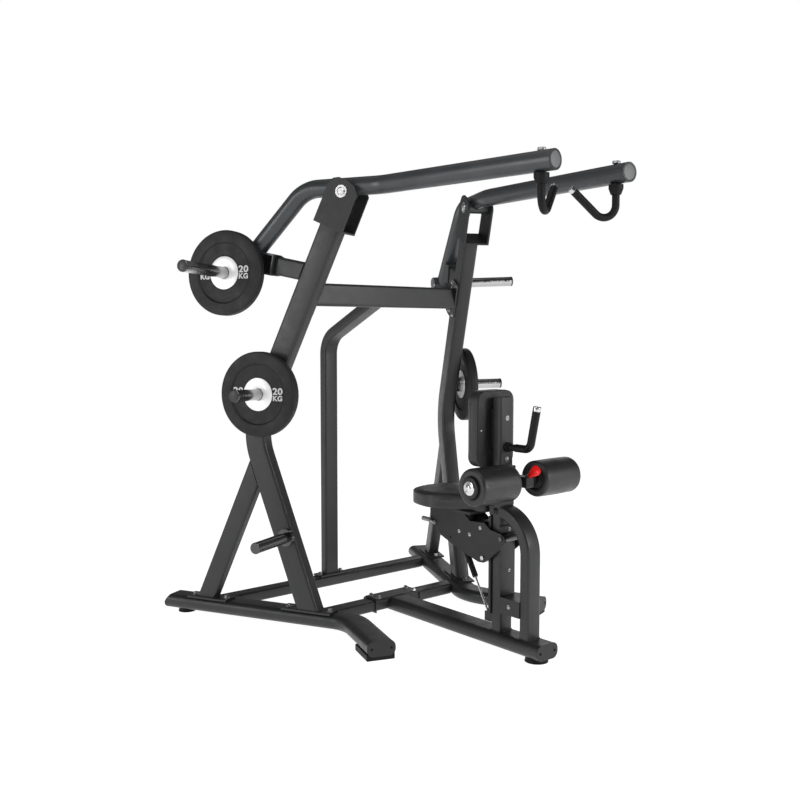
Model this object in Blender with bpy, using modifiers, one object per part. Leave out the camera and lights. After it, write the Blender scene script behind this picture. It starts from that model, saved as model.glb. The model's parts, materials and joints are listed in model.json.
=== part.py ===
"""Plate-loaded lat pulldown machine: two overhead lever arms on splayed side frames,
a seat carriage with a gas spring, thigh rollers and a chest pad on a centre column.

Metres, +Z up. The seated person faces -Y, so the person's right-hand side is -X.
Side frames, arms, horns and plates are laid out in side-plane coordinates:
  s  distance forward in the vertical plane of the side frame
  n  distance outward from the machine's centre line, square to that plane
  z  height
"""
import bpy
import bmesh
import math
from mathutils import Matrix, Vector

# ----------------------------------------------------------------------------
# Driving dimensions
# ----------------------------------------------------------------------------
Y0 = 0.1543                    # puts the middle of the machine's depth on Y = 0
SPLAY = math.radians(26.5)     # plan angle of each side frame to the centre line
GAP = 0.0003                   # clearance kept between touching pieces

FOOT_H = 0.0185                # rubber foot height
BASE_W, BASE_H, BASE_R = 0.120, 0.0625, 0.027    # flat-oval base tube
BASE_Z0 = FOOT_H + GAP
BASE_Z1 = BASE_Z0 + BASE_H
FLANGE_T = 0.008
WALL = 0.003

POST_D, POST_B, POST_R = 0.104, 0.068, 0.014    # main post section, in plane x across
LEG_D, LEG_B, LEG_R = 0.086, 0.056, 0.012       # rear leg section
POST_N = 0.373                 # post mid-plane
SKID_N = 0.355                 # skid centre line

TUBE_A, TUBE_B, TUBE_R = 0.077, 0.050, 0.012    # seat, chest and rear tubes
CROSS_A, CROSS_B = 0.080, 0.050                 # cross tubes on the floor

ARM_R, ARM_WALL = 0.0385, 0.0035
ARM_Z = 1.924                  # height of the overhead tubes' centre
PIVOT_S, PIVOT_N, PIVOT_Z = -0.077, 0.385, 1.898
ARM_TIP = (0.2129, -1.099)     # end of the arm in plan (x, y before Y0)
FORK_HALF = 0.061              # half the pivot bracket's width
FORK_T = 0.008

HORN_R = 0.025
PLATE_R, PLATE_T, PLATE_BORE, PLATE_DISH = 0.187, 0.042, 0.0262, 0.0065
PLATE_N = 0.4305               # inner face of a loaded plate
U_HORN_TILT = math.radians(2.4)
L_HORN_TILT = math.radians(1.0)

COLUMN_Y = -0.676              # front face of the seat column
ROLL_R, ROLL_IN, ROLL_OUT = 0.075, 0.0705, 0.2865
ROLL_Y, ROLL_Z = -0.757, 0.718

# ----------------------------------------------------------------------------
# Scene, collections and materials
# ----------------------------------------------------------------------------
for old in list(bpy.data.objects):
    bpy.data.objects.remove(old, do_unlink=True)

PARTS = bpy.data.collections.new("lat_pulldown_machine")
TOOLS = bpy.data.collections.new("cutters_and_guides")
bpy.context.scene.collection.children.link(PARTS)
bpy.context.scene.collection.children.link(TOOLS)


def material(name, colour, roughness, metallic):
    m = bpy.data.materials.new(name)
    m.use_nodes = True
    shader = m.node_tree.nodes["Principled BSDF"]
    shader.inputs["Base Color"].default_value = (*colour, 1.0)
    shader.inputs["Roughness"].default_value = roughness
    shader.inputs["Metallic"].default_value = metallic
    m.diffuse_color = (*colour, 1.0)
    return m


FRAME_PAINT = ("frame_paint", (0.040, 0.041, 0.043), 0.42, 0.3)
ARM_PAINT = ("arm_paint", (0.050, 0.055, 0.060), 0.35, 0.4)
CHROME = ("chrome", (0.80, 0.80, 0.81), 0.15, 1.0)
STEEL = ("zinc_steel", (0.62, 0.62, 0.63), 0.30, 1.0)
RUBBER = ("black_rubber", (0.020, 0.020, 0.021), 0.75, 0.0)
PLATE_RUBBER = ("plate_rubber", (0.030, 0.030, 0.031), 0.70, 0.0)
VINYL = ("black_vinyl", (0.028, 0.028, 0.030), 0.50, 0.0)
RED = ("red_knob", (0.75, 0.01, 0.01), 0.35, 0.0)
CAP = ("grey_cap", (0.20, 0.20, 0.21), 0.50, 0.1)


def finish(obj, name, finish_of, smooth=True):
    """Name the piece, put it with the parts and give it its own material."""
    obj.name = name
    obj.data.name = name
    if obj.name not in PARTS.objects:
        for c in list(obj.users_collection):
            c.objects.unlink(obj)
        PARTS.objects.link(obj)
    kind, colour, rough, metal = finish_of
    obj.data.materials.clear()
    obj.data.materials.append(material(kind + "_" + name, colour, rough, metal))
    if smooth:
        obj.data.shade_smooth()
        obj.data.set_sharp_from_angle(angle=math.radians(32))
    return obj


def tool(obj, name):
    """Mark an object as a cutter or a joining shape that isn't a part itself."""
    obj.name = name
    for c in list(obj.users_collection):
        c.objects.unlink(obj)
    TOOLS.objects.link(obj)
    obj.hide_render = True
    obj.display_type = "WIRE"
    return obj


# ----------------------------------------------------------------------------
# Coordinates
# ----------------------------------------------------------------------------
def side_axes(side):
    """Forward and outward unit vectors of a side frame; side is -1 for the right, +1 for the left."""
    c, s = math.cos(SPLAY), math.sin(SPLAY)
    return Vector((-side * s, -c, 0.0)), Vector((side * c, -s, 0.0))


def at(side, s, n, z):
    fwd, out = side_axes(side)
    return fwd * s + out * n + Vector((0.0, Y0, z))


def side_matrix(side, n):
    """Local X forward, local Y up, local Z square to the side frame."""
    fwd, out = side_axes(side)
    third = fwd.cross(Vector((0, 0, 1)))
    m = Matrix((fwd, Vector((0, 0, 1)), third)).transposed().to_4x4()
    m.translation = out * n + Vector((0.0, Y0, 0.0))
    return m


def axis_matrix(origin, direction, up=Vector((0, 0, 1))):
    """Local Z along direction."""
    zed = Vector(direction).normalized()
    ex = Vector(up).cross(zed)
    if ex.length < 1e-6:
        ex = Vector((1, 0, 0)).cross(zed)
    ex.normalize()
    why = zed.cross(ex)
    m = Matrix((ex, why, zed)).transposed().to_4x4()
    m.translation = Vector(origin)
    return m


YZ = Matrix(((0, 0, 1, 0), (1, 0, 0, Y0), (0, 1, 0, 0), (0, 0, 0, 1)))   # local x -> Y, y -> Z, z -> X
XY = Matrix.Translation((0.0, Y0, 0.0))


# ----------------------------------------------------------------------------
# Shapes
# ----------------------------------------------------------------------------
def new_mesh_object(name, bm):
    mesh = bpy.data.meshes.new(name)
    bm.to_mesh(mesh)
    bm.free()
    obj = bpy.data.objects.new(name, mesh)
    PARTS.objects.link(obj)
    return obj


def box(lo, hi, bevel=0.0, matrix=None, segments=2):
    """A box between two corners, with rounded edges when bevel is given."""
    lo, hi = Vector(lo), Vector(hi)
    bm = bmesh.new()
    bmesh.ops.create_cube(bm, size=1.0, matrix=Matrix.Translation((lo + hi) / 2) @ Matrix.Diagonal((*(hi - lo), 1.0)))
    if bevel:
        bmesh.ops.bevel(bm, geom=bm.edges[:], offset=bevel, segments=segments, affect="EDGES", profile=0.5)
    obj = new_mesh_object("box", bm)
    if matrix is not None:
        obj.matrix_world = matrix
    return obj


def cylinder(a, b, radius, segments=24, radius2=None, chamfer=0.0):
    """A solid cylinder or cone from point a to point b."""
    a, b = Vector(a), Vector(b)
    bm = bmesh.new()
    bmesh.ops.create_cone(bm, cap_ends=True, segments=segments, radius1=radius,
                          radius2=radius if radius2 is None else radius2, depth=(b - a).length)
    if chamfer:
        rims = [e for e in bm.edges if len(e.link_faces) == 2 and any(len(f.verts) > 4 for f in e.link_faces)]
        bmesh.ops.bevel(bm, geom=rims, offset=chamfer, segments=1, affect="EDGES", profile=0.5)
    obj = new_mesh_object("cylinder", bm)
    obj.matrix_world = axis_matrix((a + b) / 2, b - a)
    return obj


def turned(profile, matrix, segments=32):
    """A turned solid: (radius, height) points from the top of the axis down to its foot, spun round local Z."""
    bm = bmesh.new()
    verts = [bm.verts.new((r, 0.0, h)) for r, h in profile]
    for v, w in zip(verts, verts[1:]):
        bm.edges.new((v, w))
    obj = new_mesh_object("turned", bm)
    screw = obj.modifiers.new("turn", "SCREW")
    screw.angle = math.tau
    screw.steps = screw.render_steps = segments
    screw.use_merge_vertices = True
    screw.merge_threshold = 0.00005
    screw.use_smooth_shade = True
    obj.matrix_world = matrix
    return obj


def ring_profile(outer, inner, h0, h1, chamfer=0.0015):
    """Closed section of a turned ring."""
    c = chamfer
    return [(inner, h1), (outer - c, h1), (outer, h1 - c), (outer, h0 + c), (outer - c, h0), (inner, h0), (inner, h1)]


def rounded_outline(w, h, r, steps=2):
    """Corner-rounded rectangle, w along x and h along y, as a list of points."""
    points = []
    for cx, cy, start in ((w / 2 - r, h / 2 - r, 0), (-w / 2 + r, h / 2 - r, 90),
                          (-w / 2 + r, -h / 2 + r, 180), (w / 2 - r, -h / 2 + r, 270)):
        for i in range(steps + 1):
            a = math.radians(start + 90 * i / steps)
            points.append((cx + r * math.cos(a), cy + r * math.sin(a)))
    return points


def poly_curve(name, points, closed, dims="2D"):
    data = bpy.data.curves.new(name, "CURVE")
    data.dimensions = dims
    data.resolution_u = 1
    spline = data.splines.new("POLY")
    spline.points.add(len(points) - 1)
    for p, q in zip(spline.points, points):
        p.co = (*q, 1.0) if len(q) == 3 else (q[0], q[1], 0.0, 1.0)
    spline.use_cyclic_u = closed
    obj = bpy.data.objects.new(name, data)
    PARTS.objects.link(obj)
    return obj


def fillet(points, radii, step=math.radians(11.0)):
    """A polyline whose inner corners are replaced by arcs of the given radii."""
    points = [Vector(p) for p in points]
    out = [points[0]]
    for before, corner, after, radius in zip(points, points[1:], points[2:], radii):
        d0, d1 = (corner - before).normalized(), (after - corner).normalized()
        turn = d0.angle(d1)
        reach = radius * math.tan(turn / 2)
        start = corner - d0 * reach
        towards = (d1 - d0 * d0.dot(d1)).normalized()
        centre = start + towards * radius
        count = max(2, round(turn / step))
        for i in range(count + 1):
            a = turn * i / count
            out.append(centre - towards * radius * math.cos(a) + d0 * radius * math.sin(a))
    out.append(points[-1])
    return out


def meshed(obj):
    """The evaluated curve as a welded mesh object, in the curve's place."""
    graph = bpy.context.evaluated_depsgraph_get()
    graph.update()
    mesh = bpy.data.meshes.new_from_object(obj.evaluated_get(graph))
    bm = bmesh.new()
    bm.from_mesh(mesh)
    bmesh.ops.remove_doubles(bm, verts=bm.verts[:], dist=0.00002)
    bmesh.ops.recalc_face_normals(bm, faces=bm.faces[:])
    bm.to_mesh(mesh)
    bm.free()
    made = bpy.data.objects.new(obj.name + "_mesh", mesh)
    made.matrix_world = obj.matrix_world.copy()
    PARTS.objects.link(made)
    old = obj.data
    bpy.data.objects.remove(obj, do_unlink=True)
    bpy.data.curves.remove(old)
    return made


def swept(points, width, height, radius, matrix, wall=WALL, steps=2, capped=False):
    """A rectangular tube swept along a flat path: width lies in the path's plane, height square to it."""
    section = poly_curve("section", rounded_outline(width, height, radius, steps), True)
    section.hide_render = True
    path = poly_curve("path", [(p[0], p[1]) for p in points], False)
    path.data.bevel_mode = "OBJECT"
    path.data.bevel_object = section
    path.data.use_fill_caps = capped
    path.matrix_world = matrix
    bpy.context.view_layer.update()
    tube = meshed(path)
    bpy.data.objects.remove(section, do_unlink=True)
    if not capped:
        outward(tube, [Vector((p[0], p[1], 0.0)) for p in points])
        shell = tube.modifiers.new("wall", "SOLIDIFY")
        shell.thickness = wall
        shell.offset = -1.0
        shell.use_even_offset = True
    return tube


def outward(tube, path):
    """Turn an open tube's faces away from its centre line."""
    face = tube.data.polygons[0]
    best, away = 1e9, None
    for a, b in zip(path, path[1:]):
        for t in range(9):
            d = face.center - (a + (b - a) * t / 8)
            if d.length < best:
                best, away = d.length, d
    if away.dot(face.normal) < 0:
        tube.data.flip_normals()


def round_tube(points, radius, wall=None, sides=5, matrix=None):
    """A round tube or bar along a path: hollow with open ends when a wall is given, else solid."""
    path = poly_curve("path", [tuple(p) for p in points], False, "3D")
    path.data.bevel_depth = radius
    path.data.bevel_resolution = sides
    path.data.use_fill_caps = wall is None
    if matrix is not None:
        path.matrix_world = matrix
    bpy.context.view_layer.update()
    tube = meshed(path)
    if wall is not None:
        outward(tube, [Vector(p) for p in points])
        shell = tube.modifiers.new("wall", "SOLIDIFY")
        shell.thickness = wall
        shell.offset = -1.0
        shell.use_even_offset = True
    return tube


def outline_plate(points, thickness, matrix, bevel=0.0):
    """A flat plate cut to an outline in the matrix's local XY plane, centred on it."""
    curve = poly_curve("plate", points, True)
    curve.data.fill_mode = "BOTH"
    curve.data.extrude = thickness / 2
    curve.matrix_world = matrix
    bpy.context.view_layer.update()
    plate = meshed(curve)
    if bevel:
        edge = plate.modifiers.new("edge", "BEVEL")
        edge.width = bevel
        edge.segments = 1
        edge.limit_method = "ANGLE"
        edge.angle_limit = math.radians(50)
    return plate


def cut(obj, other, label="cut"):
    m = obj.modifiers.new(label, "BOOLEAN")
    m.operation = "DIFFERENCE"
    m.object = tool(other, f"{label}_{len(TOOLS.objects):03d}")
    return obj


def join(obj, other, label="join"):
    m = obj.modifiers.new(label, "BOOLEAN")
    m.operation = "UNION"
    m.object = tool(other, f"{label}_{len(TOOLS.objects):03d}")
    return obj


def baked(obj):
    """Apply the modifiers, so that the piece can itself be used in a Boolean."""
    graph = bpy.context.evaluated_depsgraph_get()
    graph.update()
    mesh = bpy.data.meshes.new_from_object(obj.evaluated_get(graph))
    obj.modifiers.clear()
    obj.data = mesh
    return obj


def origin_to(obj, point):
    """Move the object's origin to a point without moving its shape."""
    point = Vector(point)
    bpy.context.view_layer.update()
    world = obj.matrix_world.copy()
    obj.data.transform(world)
    obj.matrix_world = Matrix.Identity(4)
    obj.data.transform(Matrix.Translation(-point))
    obj.matrix_world = Matrix.Translation(point)
    return obj


SIDES = ((-1, "right"), (1, "left"))

# ----------------------------------------------------------------------------
# Base: skids, feet, cross tubes and the centre tube
# ----------------------------------------------------------------------------
BASE_ZC = (BASE_Z0 + BASE_Z1) / 2
SKID_REAR_S = -1.035
END_CAP_T = 0.004

for side, word in SIDES:
    fwd, out = side_axes(side)
    rear = fwd * SKID_REAR_S + out * SKID_N
    bend = fwd * -0.0751 + out * SKID_N
    nose = Vector((side * 0.4773, -0.4471, 0.0))
    # the nose turns outwards; its cap's face lies on the nose point
    d = (nose - bend).normalized()
    path = fillet([rear, bend, nose - d * (END_CAP_T + GAP)], [0.20])
    skid = swept(path, BASE_W, BASE_H, BASE_R, Matrix.Translation((0, Y0, BASE_ZC)), steps=3)
    # the rear end is cut on a slant
    slant = box((-0.2, -0.2, 0.0), (0.2, 0.2, 0.3))
    slant.matrix_world = Matrix.Translation(at(side, SKID_REAR_S + 0.020, SKID_N, BASE_Z1)) @ \
        axis_matrix((0, 0, 0), -fwd + Vector((0, 0, 0.62)))
    cut(skid, slant, "slant")
    finish(skid, word + "_skid", FRAME_PAINT)

    cap = outline_plate(rounded_outline(BASE_W + 0.002, BASE_H + 0.002, BASE_R + 0.001, 3), END_CAP_T,
                        axis_matrix(nose - d * END_CAP_T / 2 + Vector((0, Y0, BASE_ZC)), d))
    for offset in (-0.042, 0.042):
        across = Vector((-d.y, d.x, 0)) * offset
        c = nose + across + Vector((0, Y0, BASE_ZC))
        cut(cap, cylinder(c - d * 0.02, c + d * 0.02, 0.005, 12), "screw_hole")
    finish(cap, word + "_skid_cap", FRAME_PAINT)

    heel = nose - d * 0.062
    # the block hugs the rounded underside of the tube
    foot = box((-0.060, -0.055, 0.0), (0.060, 0.098, FOOT_H + 0.009), bevel=0.0020, segments=1)
    foot.matrix_world = Matrix.Translation((heel.x, heel.y + Y0, 0)) @ Matrix.Rotation(math.atan2(d.x, -d.y), 4, "Z")
    seat = swept([rear, bend, nose + d * 0.05], BASE_W + 2 * GAP, BASE_H + 2 * GAP, BASE_R + GAP, Matrix.Translation((0, Y0, BASE_ZC)), steps=3, capped=True)
    cut(foot, seat, "tube_seat")
    finish(foot, word + "_front_foot", RUBBER)

    c = at(side, SKID_REAR_S + 0.085, SKID_N, 0)
    finish(cylinder(c, c + Vector((0, 0, FOOT_H)), 0.040, 24, radius2=0.036), word + "_rear_foot", RUBBER)

# Cross tube at the back, between the skids
REAR_Y, FRONT_Y = 0.557, 0.062
CROSS_ZC = 0.052


def trimmed_by_skids(obj, n_face):
    """Cut a lateral tube back to the inner sides of both skids."""
    for side, _ in SIDES:
        blade = box((-2.0, -0.3, 0.0), (2.0, 0.3, 1.5))
        fwd, out = side_axes(side)
        blade.matrix_world = Matrix((fwd, Vector((0, 0, 1)), out)).transposed().to_4x4()
        if blade.matrix_world.determinant() < 0:
            blade.matrix_world = Matrix((-fwd, Vector((0, 0, 1)), out)).transposed().to_4x4()
        blade.matrix_world.translation = out * n_face + Vector((0, Y0, 0.1))
        cut(obj, blade, "trim")
    return obj


rear_cross = swept([(-0.95, REAR_Y), (0.95, REAR_Y)], CROSS_A, CROSS_B, TUBE_R, Matrix.Translation((0, Y0, CROSS_ZC)))
trimmed_by_skids(rear_cross, SKID_N - BASE_W / 2 - GAP)
finish(rear_cross, "rear_cross_tube", FRAME_PAINT)

T_HALF = 0.131
for side, word in SIDES:
    stub = swept([(side * (T_HALF + GAP), FRONT_Y), (side * 0.9, FRONT_Y)], CROSS_A, CROSS_B, TUBE_R,
                 Matrix.Translation((0, Y0, CROSS_ZC)))
    trimmed_by_skids(stub, SKID_N - BASE_W / 2 - GAP)
    plate = box((-0.003, -0.046, -0.029), (0.003, 0.046, 0.029))
    plate.matrix_world = Matrix.Translation((side * (T_HALF + GAP + 0.003), FRONT_Y + Y0, CROSS_ZC))
    join(baked(stub), plate, "flange")
    finish(stub, word + "_cross_stub", FRAME_PAINT)

BASE_FRONT_Y = -0.9026
centre = swept([(BASE_FRONT_Y + END_CAP_T + GAP, 0.0), (0.085, 0.0)], BASE_W, BASE_H, BASE_R,
               Matrix.Translation((0, Y0, BASE_ZC)) @ Matrix.Rotation(math.radians(90), 4, "Z"), steps=3, capped=True)
tee = swept([(-T_HALF, FRONT_Y), (T_HALF, FRONT_Y)], CROSS_A, CROSS_B, TUBE_R, Matrix.Translation((0, Y0, CROSS_ZC)), capped=True)
join(centre, tee, "tee")
tee_pad = box((-T_HALF, FRONT_Y + Y0 - 0.044, BASE_Z1 - 0.008), (T_HALF, FRONT_Y + Y0 + 0.044, BASE_Z1 + 0.004), bevel=0.002, segments=1)
join(centre, tee_pad, "saddle")
hollow = swept([(BASE_FRONT_Y - 0.05, 0.0), (0.078, 0.0)], BASE_W - 2 * WALL, BASE_H - 2 * WALL, BASE_R - WALL,
               Matrix.Translation((0, Y0, BASE_ZC)) @ Matrix.Rotation(math.radians(90), 4, "Z"), steps=3, capped=True)
cut(centre, hollow, "hollow")
hollow = swept([(-T_HALF - 0.05, FRONT_Y), (T_HALF + 0.05, FRONT_Y)], CROSS_A - 2 * WALL, CROSS_B - 2 * WALL, TUBE_R - WALL,
               Matrix.Translation((0, Y0, CROSS_ZC)), capped=True)
cut(centre, hollow, "hollow")
finish(centre, "centre_base_tube", FRAME_PAINT)

cap = outline_plate(rounded_outline(BASE_W + 0.002, BASE_H + 0.002, BASE_R + 0.001, 3), END_CAP_T,
                    axis_matrix((0, BASE_FRONT_Y + END_CAP_T / 2 + Y0, BASE_ZC), (0, -1, 0)))
for x in (-0.042, 0.042):
    cut(cap, cylinder((x, BASE_FRONT_Y + Y0 - 0.02, BASE_ZC), (x, BASE_FRONT_Y + Y0 + 0.02, BASE_ZC), 0.005, 12), "screw_hole")
finish(cap, "centre_base_cap", FRAME_PAINT)
c = Vector((0, BASE_FRONT_Y + 0.058 + Y0, 0))
finish(cylinder(c, c + Vector((0, 0, FOOT_H)), 0.048, 28, radius2=0.044), "centre_foot", RUBBER)

# ----------------------------------------------------------------------------
# Side frames: bent main post, rear leg, pivot bracket, stop and horns
# ----------------------------------------------------------------------------
LOW_SLOPE, HIGH_SLOPE = -0.360, 0.4587        # ds/dz below and above the bend
BEND_S, BEND_Z = -0.5589, 0.8757


def post_s(z):
    return BEND_S + (z - BEND_Z) * (HIGH_SLOPE if z > BEND_Z else LOW_SLOPE)


HIGH_DIR = Vector((HIGH_SLOPE, 1.0)).normalized()      # up the post, (s, z)
HIGH_ACROSS = Vector((HIGH_DIR.y, -HIGH_DIR.x))        # forward, square to it
FORK_MID = Vector((-0.1432, 1.7545))                   # middle of the bracket's underside
FORK_W, FORK_L = 0.147, 0.200


def fork_point(across, along):
    return FORK_MID + HIGH_ACROSS * across + HIGH_DIR * along


def in_fork(v):
    """Across and along coordinates of an (s, z) point in the bracket."""
    d = Vector(v) - FORK_MID
    return d.dot(HIGH_ACROSS), d.dot(HIGH_DIR)


FOOT_PLATE_Z = BASE_Z1 + GAP

for side, word in SIDES:
    # main post, from its foot plate up to the pivot bracket
    foot_z = FOOT_PLATE_Z + 0.004
    top = FORK_MID - HIGH_DIR * GAP
    top_line = Vector((post_s(top.y), top.y))
    path = fillet([(post_s(foot_z) + 0.03 * -LOW_SLOPE, foot_z - 0.03), (BEND_S, BEND_Z), (top_line.x + HIGH_DIR.x * 0.05, top_line.y + HIGH_DIR.y * 0.05)], [0.30])
    post = swept(path, POST_D, POST_B, POST_R, side_matrix(side, POST_N))
    floor = box((-2, -2, FOOT_PLATE_Z - 1.0), (2, 2, FOOT_PLATE_Z + 0.004))
    cut(post, floor, "foot_trim")
    lid = box((-0.3, 0.0, -0.3), (0.3, 0.6, 0.3))
    m = side_matrix(side, POST_N)
    lid.matrix_world = m @ Matrix.Translation((top.x, top.y, 0)) @ Matrix.Rotation(-math.atan2(HIGH_DIR.x, HIGH_DIR.y), 4, "Z")
    cut(post, lid, "top_trim")
    s_mid = post_s(FOOT_PLATE_Z)
    plate = box((s_mid - 0.131, FOOT_PLATE_Z, -0.042), (s_mid + 0.113, FOOT_PLATE_Z + FLANGE_T, 0.042), matrix=side_matrix(side, POST_N - 0.002))
    join(post, plate, "foot_plate")
    finish(post, word + "_main_post", FRAME_PAINT)

    # rear leg, trimmed against the back of the post
    leg_slope = 0.4457
    top_z = 0.74
    path = [(-0.8124 - leg_slope * 0.03, 0.09 - 0.03), (-0.8124 + leg_slope * (top_z - 0.09), top_z)]
    leg = swept(path, LEG_D, LEG_B, LEG_R, side_matrix(side, POST_N))
    cut(leg, box((-2, -2, FOOT_PLATE_Z - 1.0), (2, 2, FOOT_PLATE_Z + 0.004)), "foot_trim")
    low = Vector((LOW_SLOPE, 1.0)).normalized()
    blade = box((-POST_D / 2 - GAP, -0.5, -0.2), (0.5, 0.6, 0.2))
    blade.matrix_world = side_matrix(side, POST_N) @ Matrix.Translation((post_s(0.5), 0.5, 0)) @ Matrix.Rotation(-math.atan2(low.x, low.y), 4, "Z")
    cut(leg, blade, "post_trim")
    # the bend starts above, so the leg also clears the curved back of the post
    s_leg = -0.8124
    plate = box((s_leg - 0.094, FOOT_PLATE_Z, -0.042), (s_leg + 0.116, FOOT_PLATE_Z + FLANGE_T, 0.042), matrix=side_matrix(side, POST_N - 0.002))
    join(leg, plate, "foot_plate")
    finish(leg, word + "_rear_leg", FRAME_PAINT)

    # pivot bracket: a U of plate, open to the front, the back and the top
    outline = [fork_point(a, l) for a, l in
               [(-FORK_W / 2, 0.0), (FORK_W / 2, 0.0), (FORK_W / 2 - 0.002, 0.172), (FORK_W / 2 - 0.024, 0.198),
                (0.004, 0.209), (-0.034, 0.208), (-0.058, 0.195), (-FORK_W / 2 + 0.002, 0.168)]]
    fork = outline_plate([(p.x, p.y) for p in outline], 2 * FORK_HALF, side_matrix(side, PIVOT_N))
    channel = box((-0.2, FORK_T, -FORK_HALF + FORK_T), (0.2, 0.4, FORK_HALF - FORK_T))
    channel.matrix_world = side_matrix(side, PIVOT_N) @ Matrix.Translation((FORK_MID.x, FORK_MID.y, 0)) @ \
        Matrix.Rotation(-math.atan2(HIGH_DIR.x, HIGH_DIR.y), 4, "Z")
    cut(fork, channel, "channel")
    cut(fork, cylinder(at(side, PIVOT_S, PIVOT_N - 0.1, PIVOT_Z), at(side, PIVOT_S, PIVOT_N + 0.1, PIVOT_Z), 0.0125, 20), "pin_hole")
    finish(fork, word + "_pivot_bracket", FRAME_PAINT)

    # pivot pin with a washer face at each end
    half = FORK_HALF + GAP
    m = axis_matrix(at(side, PIVOT_S, PIVOT_N, PIVOT_Z), side_axes(side)[1])
    profile = [(0.0, half + 0.010), (0.012, half + 0.010), (0.0165, half + 0.007), (0.0165, half + 0.003), (0.026, half + 0.003), (0.026, half),
               (0.012, half), (0.012, -half), (0.026, -half), (0.026, -half - 0.003), (0.0165, -half - 0.003),
               (0.0165, -half - 0.007), (0.012, -half - 0.010), (0.0, -half - 0.010)]
    finish(turned(profile, m, 20), word + "_pivot_pin", STEEL)

    # stop: a short tube behind the post that the loaded arm rests against
    back = Vector((-0.9787, 0.2056))
    root = Vector((-0.300, 1.5779))
    end = root + back * 0.130
    stop = swept([root - back * 0.03, end], 0.080, 0.050, TUBE_R, side_matrix(side, PIVOT_N - 0.008), capped=True)
    blade = box((-POST_D / 2 - GAP, -0.6, -0.2), (0.5, 0.6, 0.2))
    blade.matrix_world = side_matrix(side, POST_N) @ Matrix.Translation((post_s(1.5), 1.5, 0)) @ \
        Matrix.Rotation(-math.atan2(HIGH_DIR.x, HIGH_DIR.y), 4, "Z")
    cut(stop, blade, "post_trim")
    finish(stop, word + "_arm_stop", FRAME_PAINT)

    # lower weight horn on the post, with its collar against the post's outer face
    def horn(s, n0, z0, tip_n, tilt, collar_r, collar_t, radius):
        out = side_axes(side)[1]
        axis = (out * math.cos(tilt) + Vector((0, 0, math.sin(tilt)))).normalized()
        start = at(side, s, n0, z0)
        length = (tip_n - n0) / math.cos(tilt)
        profile = [(0.0, length), (radius - 0.002, length), (radius, length - 0.002), (radius, collar_t),
                   (collar_r, collar_t), (collar_r, 0.0), (0.0, 0.0)]
        return turned(profile, axis_matrix(start, axis), 24), axis, start, length

    face = POST_N + POST_B / 2 + 0.0022
    z0 = 1.0467 - (0.6524 - face) * math.tan(L_HORN_TILT)
    obj, axis, start, length = horn(-0.4782, face, z0, 0.6524, L_HORN_TILT, 0.038, 0.024, HORN_R)
    finish(obj, word + "_lower_horn", CHROME)

    # spare-plate horn on the front leg
    obj, _, _, _ = horn(-0.372, POST_N + POST_B / 2 + 0.0014, 0.4106, 0.6712, math.radians(0.9), 0.038, 0.020, 0.0245)
    finish(obj, word + "_storage_horn", FRAME_PAINT)

    # plate on the lower horn
    def plate_on(axis, s, n0, z0, tilt, name):
        inner = at(side, s, n0, z0)
        t = PLATE_T
        profile = [(PLATE_BORE, t - PLATE_DISH), (0.131, t - PLATE_DISH), (0.137, t), (PLATE_R - 0.006, t), (PLATE_R, t - 0.006),
                   (PLATE_R, 0.006), (PLATE_R - 0.006, 0.0), (0.137, 0.0), (0.131, PLATE_DISH), (PLATE_BORE, PLATE_DISH), (PLATE_BORE, t - PLATE_DISH)]
        return finish(turned(profile, axis_matrix(inner, axis), 28), name, PLATE_RUBBER)

    plate_on(axis, -0.4782, PLATE_N, z0 + (PLATE_N - face) * math.tan(L_HORN_TILT), L_HORN_TILT, word + "_lower_plate")

    # ------------------------------------------------------------------
    # lever arm: one bent round tube with a pivot hub and a rest bracket
    # ------------------------------------------------------------------
    tip = Vector((side * ARM_TIP[0], ARM_TIP[1] + Y0, ARM_Z))
    bend_1 = at(side, -0.2806, PIVOT_N, ARM_Z)
    bend_2 = at(side, 0.0800, PIVOT_N, ARM_Z)
    down = Vector((-0.697, -0.717))
    tail = at(side, -0.2806 + down.x * 0.475, PIVOT_N, ARM_Z + down.y * 0.475)
    path = fillet([tail, bend_1, bend_2, tip], [0.155, 0.20])
    arm = round_tube(path, ARM_R, sides=4)
    arm.name = "arm_solid"
    hub = cylinder(at(side, PIVOT_S, PIVOT_N - FORK_HALF + FORK_T + 0.002, PIVOT_Z),
                   at(side, PIVOT_S, PIVOT_N + FORK_HALF - FORK_T - 0.002, PIVOT_Z), 0.027, 24)
    join(arm, hub, "hub")
    # rest bracket: an open-sided box under the tail that meets the stop
    face_c = end + back * 0.0009
    block = box((0.0, -0.046, -0.036), (0.075, 0.046, 0.036))
    place = side_matrix(side, PIVOT_N) @ Matrix.Translation((face_c.x, face_c.y, 0)) @ Matrix.Rotation(math.atan2(back.y, back.x), 4, "Z")
    block.matrix_world = place
    join(arm, block, "rest")
    pocket = box((0.006, -0.040, -0.030), (0.069, 0.040, 0.060)) if side < 0 else box((0.006, -0.040, -0.060), (0.069, 0.040, 0.030))
    pocket.matrix_world = place
    cut(arm, pocket, "pocket")
    inner = round_tube(fillet([tail + (tail - bend_1).normalized() * 0.05, bend_1, bend_2, tip + (tip - bend_2).normalized() * 0.05], [0.155, 0.20]),
                       ARM_R - ARM_WALL, sides=3)
    cut(arm, inner, "hollow")
    cut(arm, cylinder(at(side, PIVOT_S, PIVOT_N - 0.1, PIVOT_Z), at(side, PIVOT_S, PIVOT_N + 0.1, PIVOT_Z), 0.0125, 20), "pin_hole")
    horn_s, horn_tip_n = -0.6439, 0.7706
    horn_n0 = PIVOT_N - ARM_R - 0.020
    horn_z0 = 1.5869 - (horn_tip_n - horn_n0) * math.tan(U_HORN_TILT)
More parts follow.
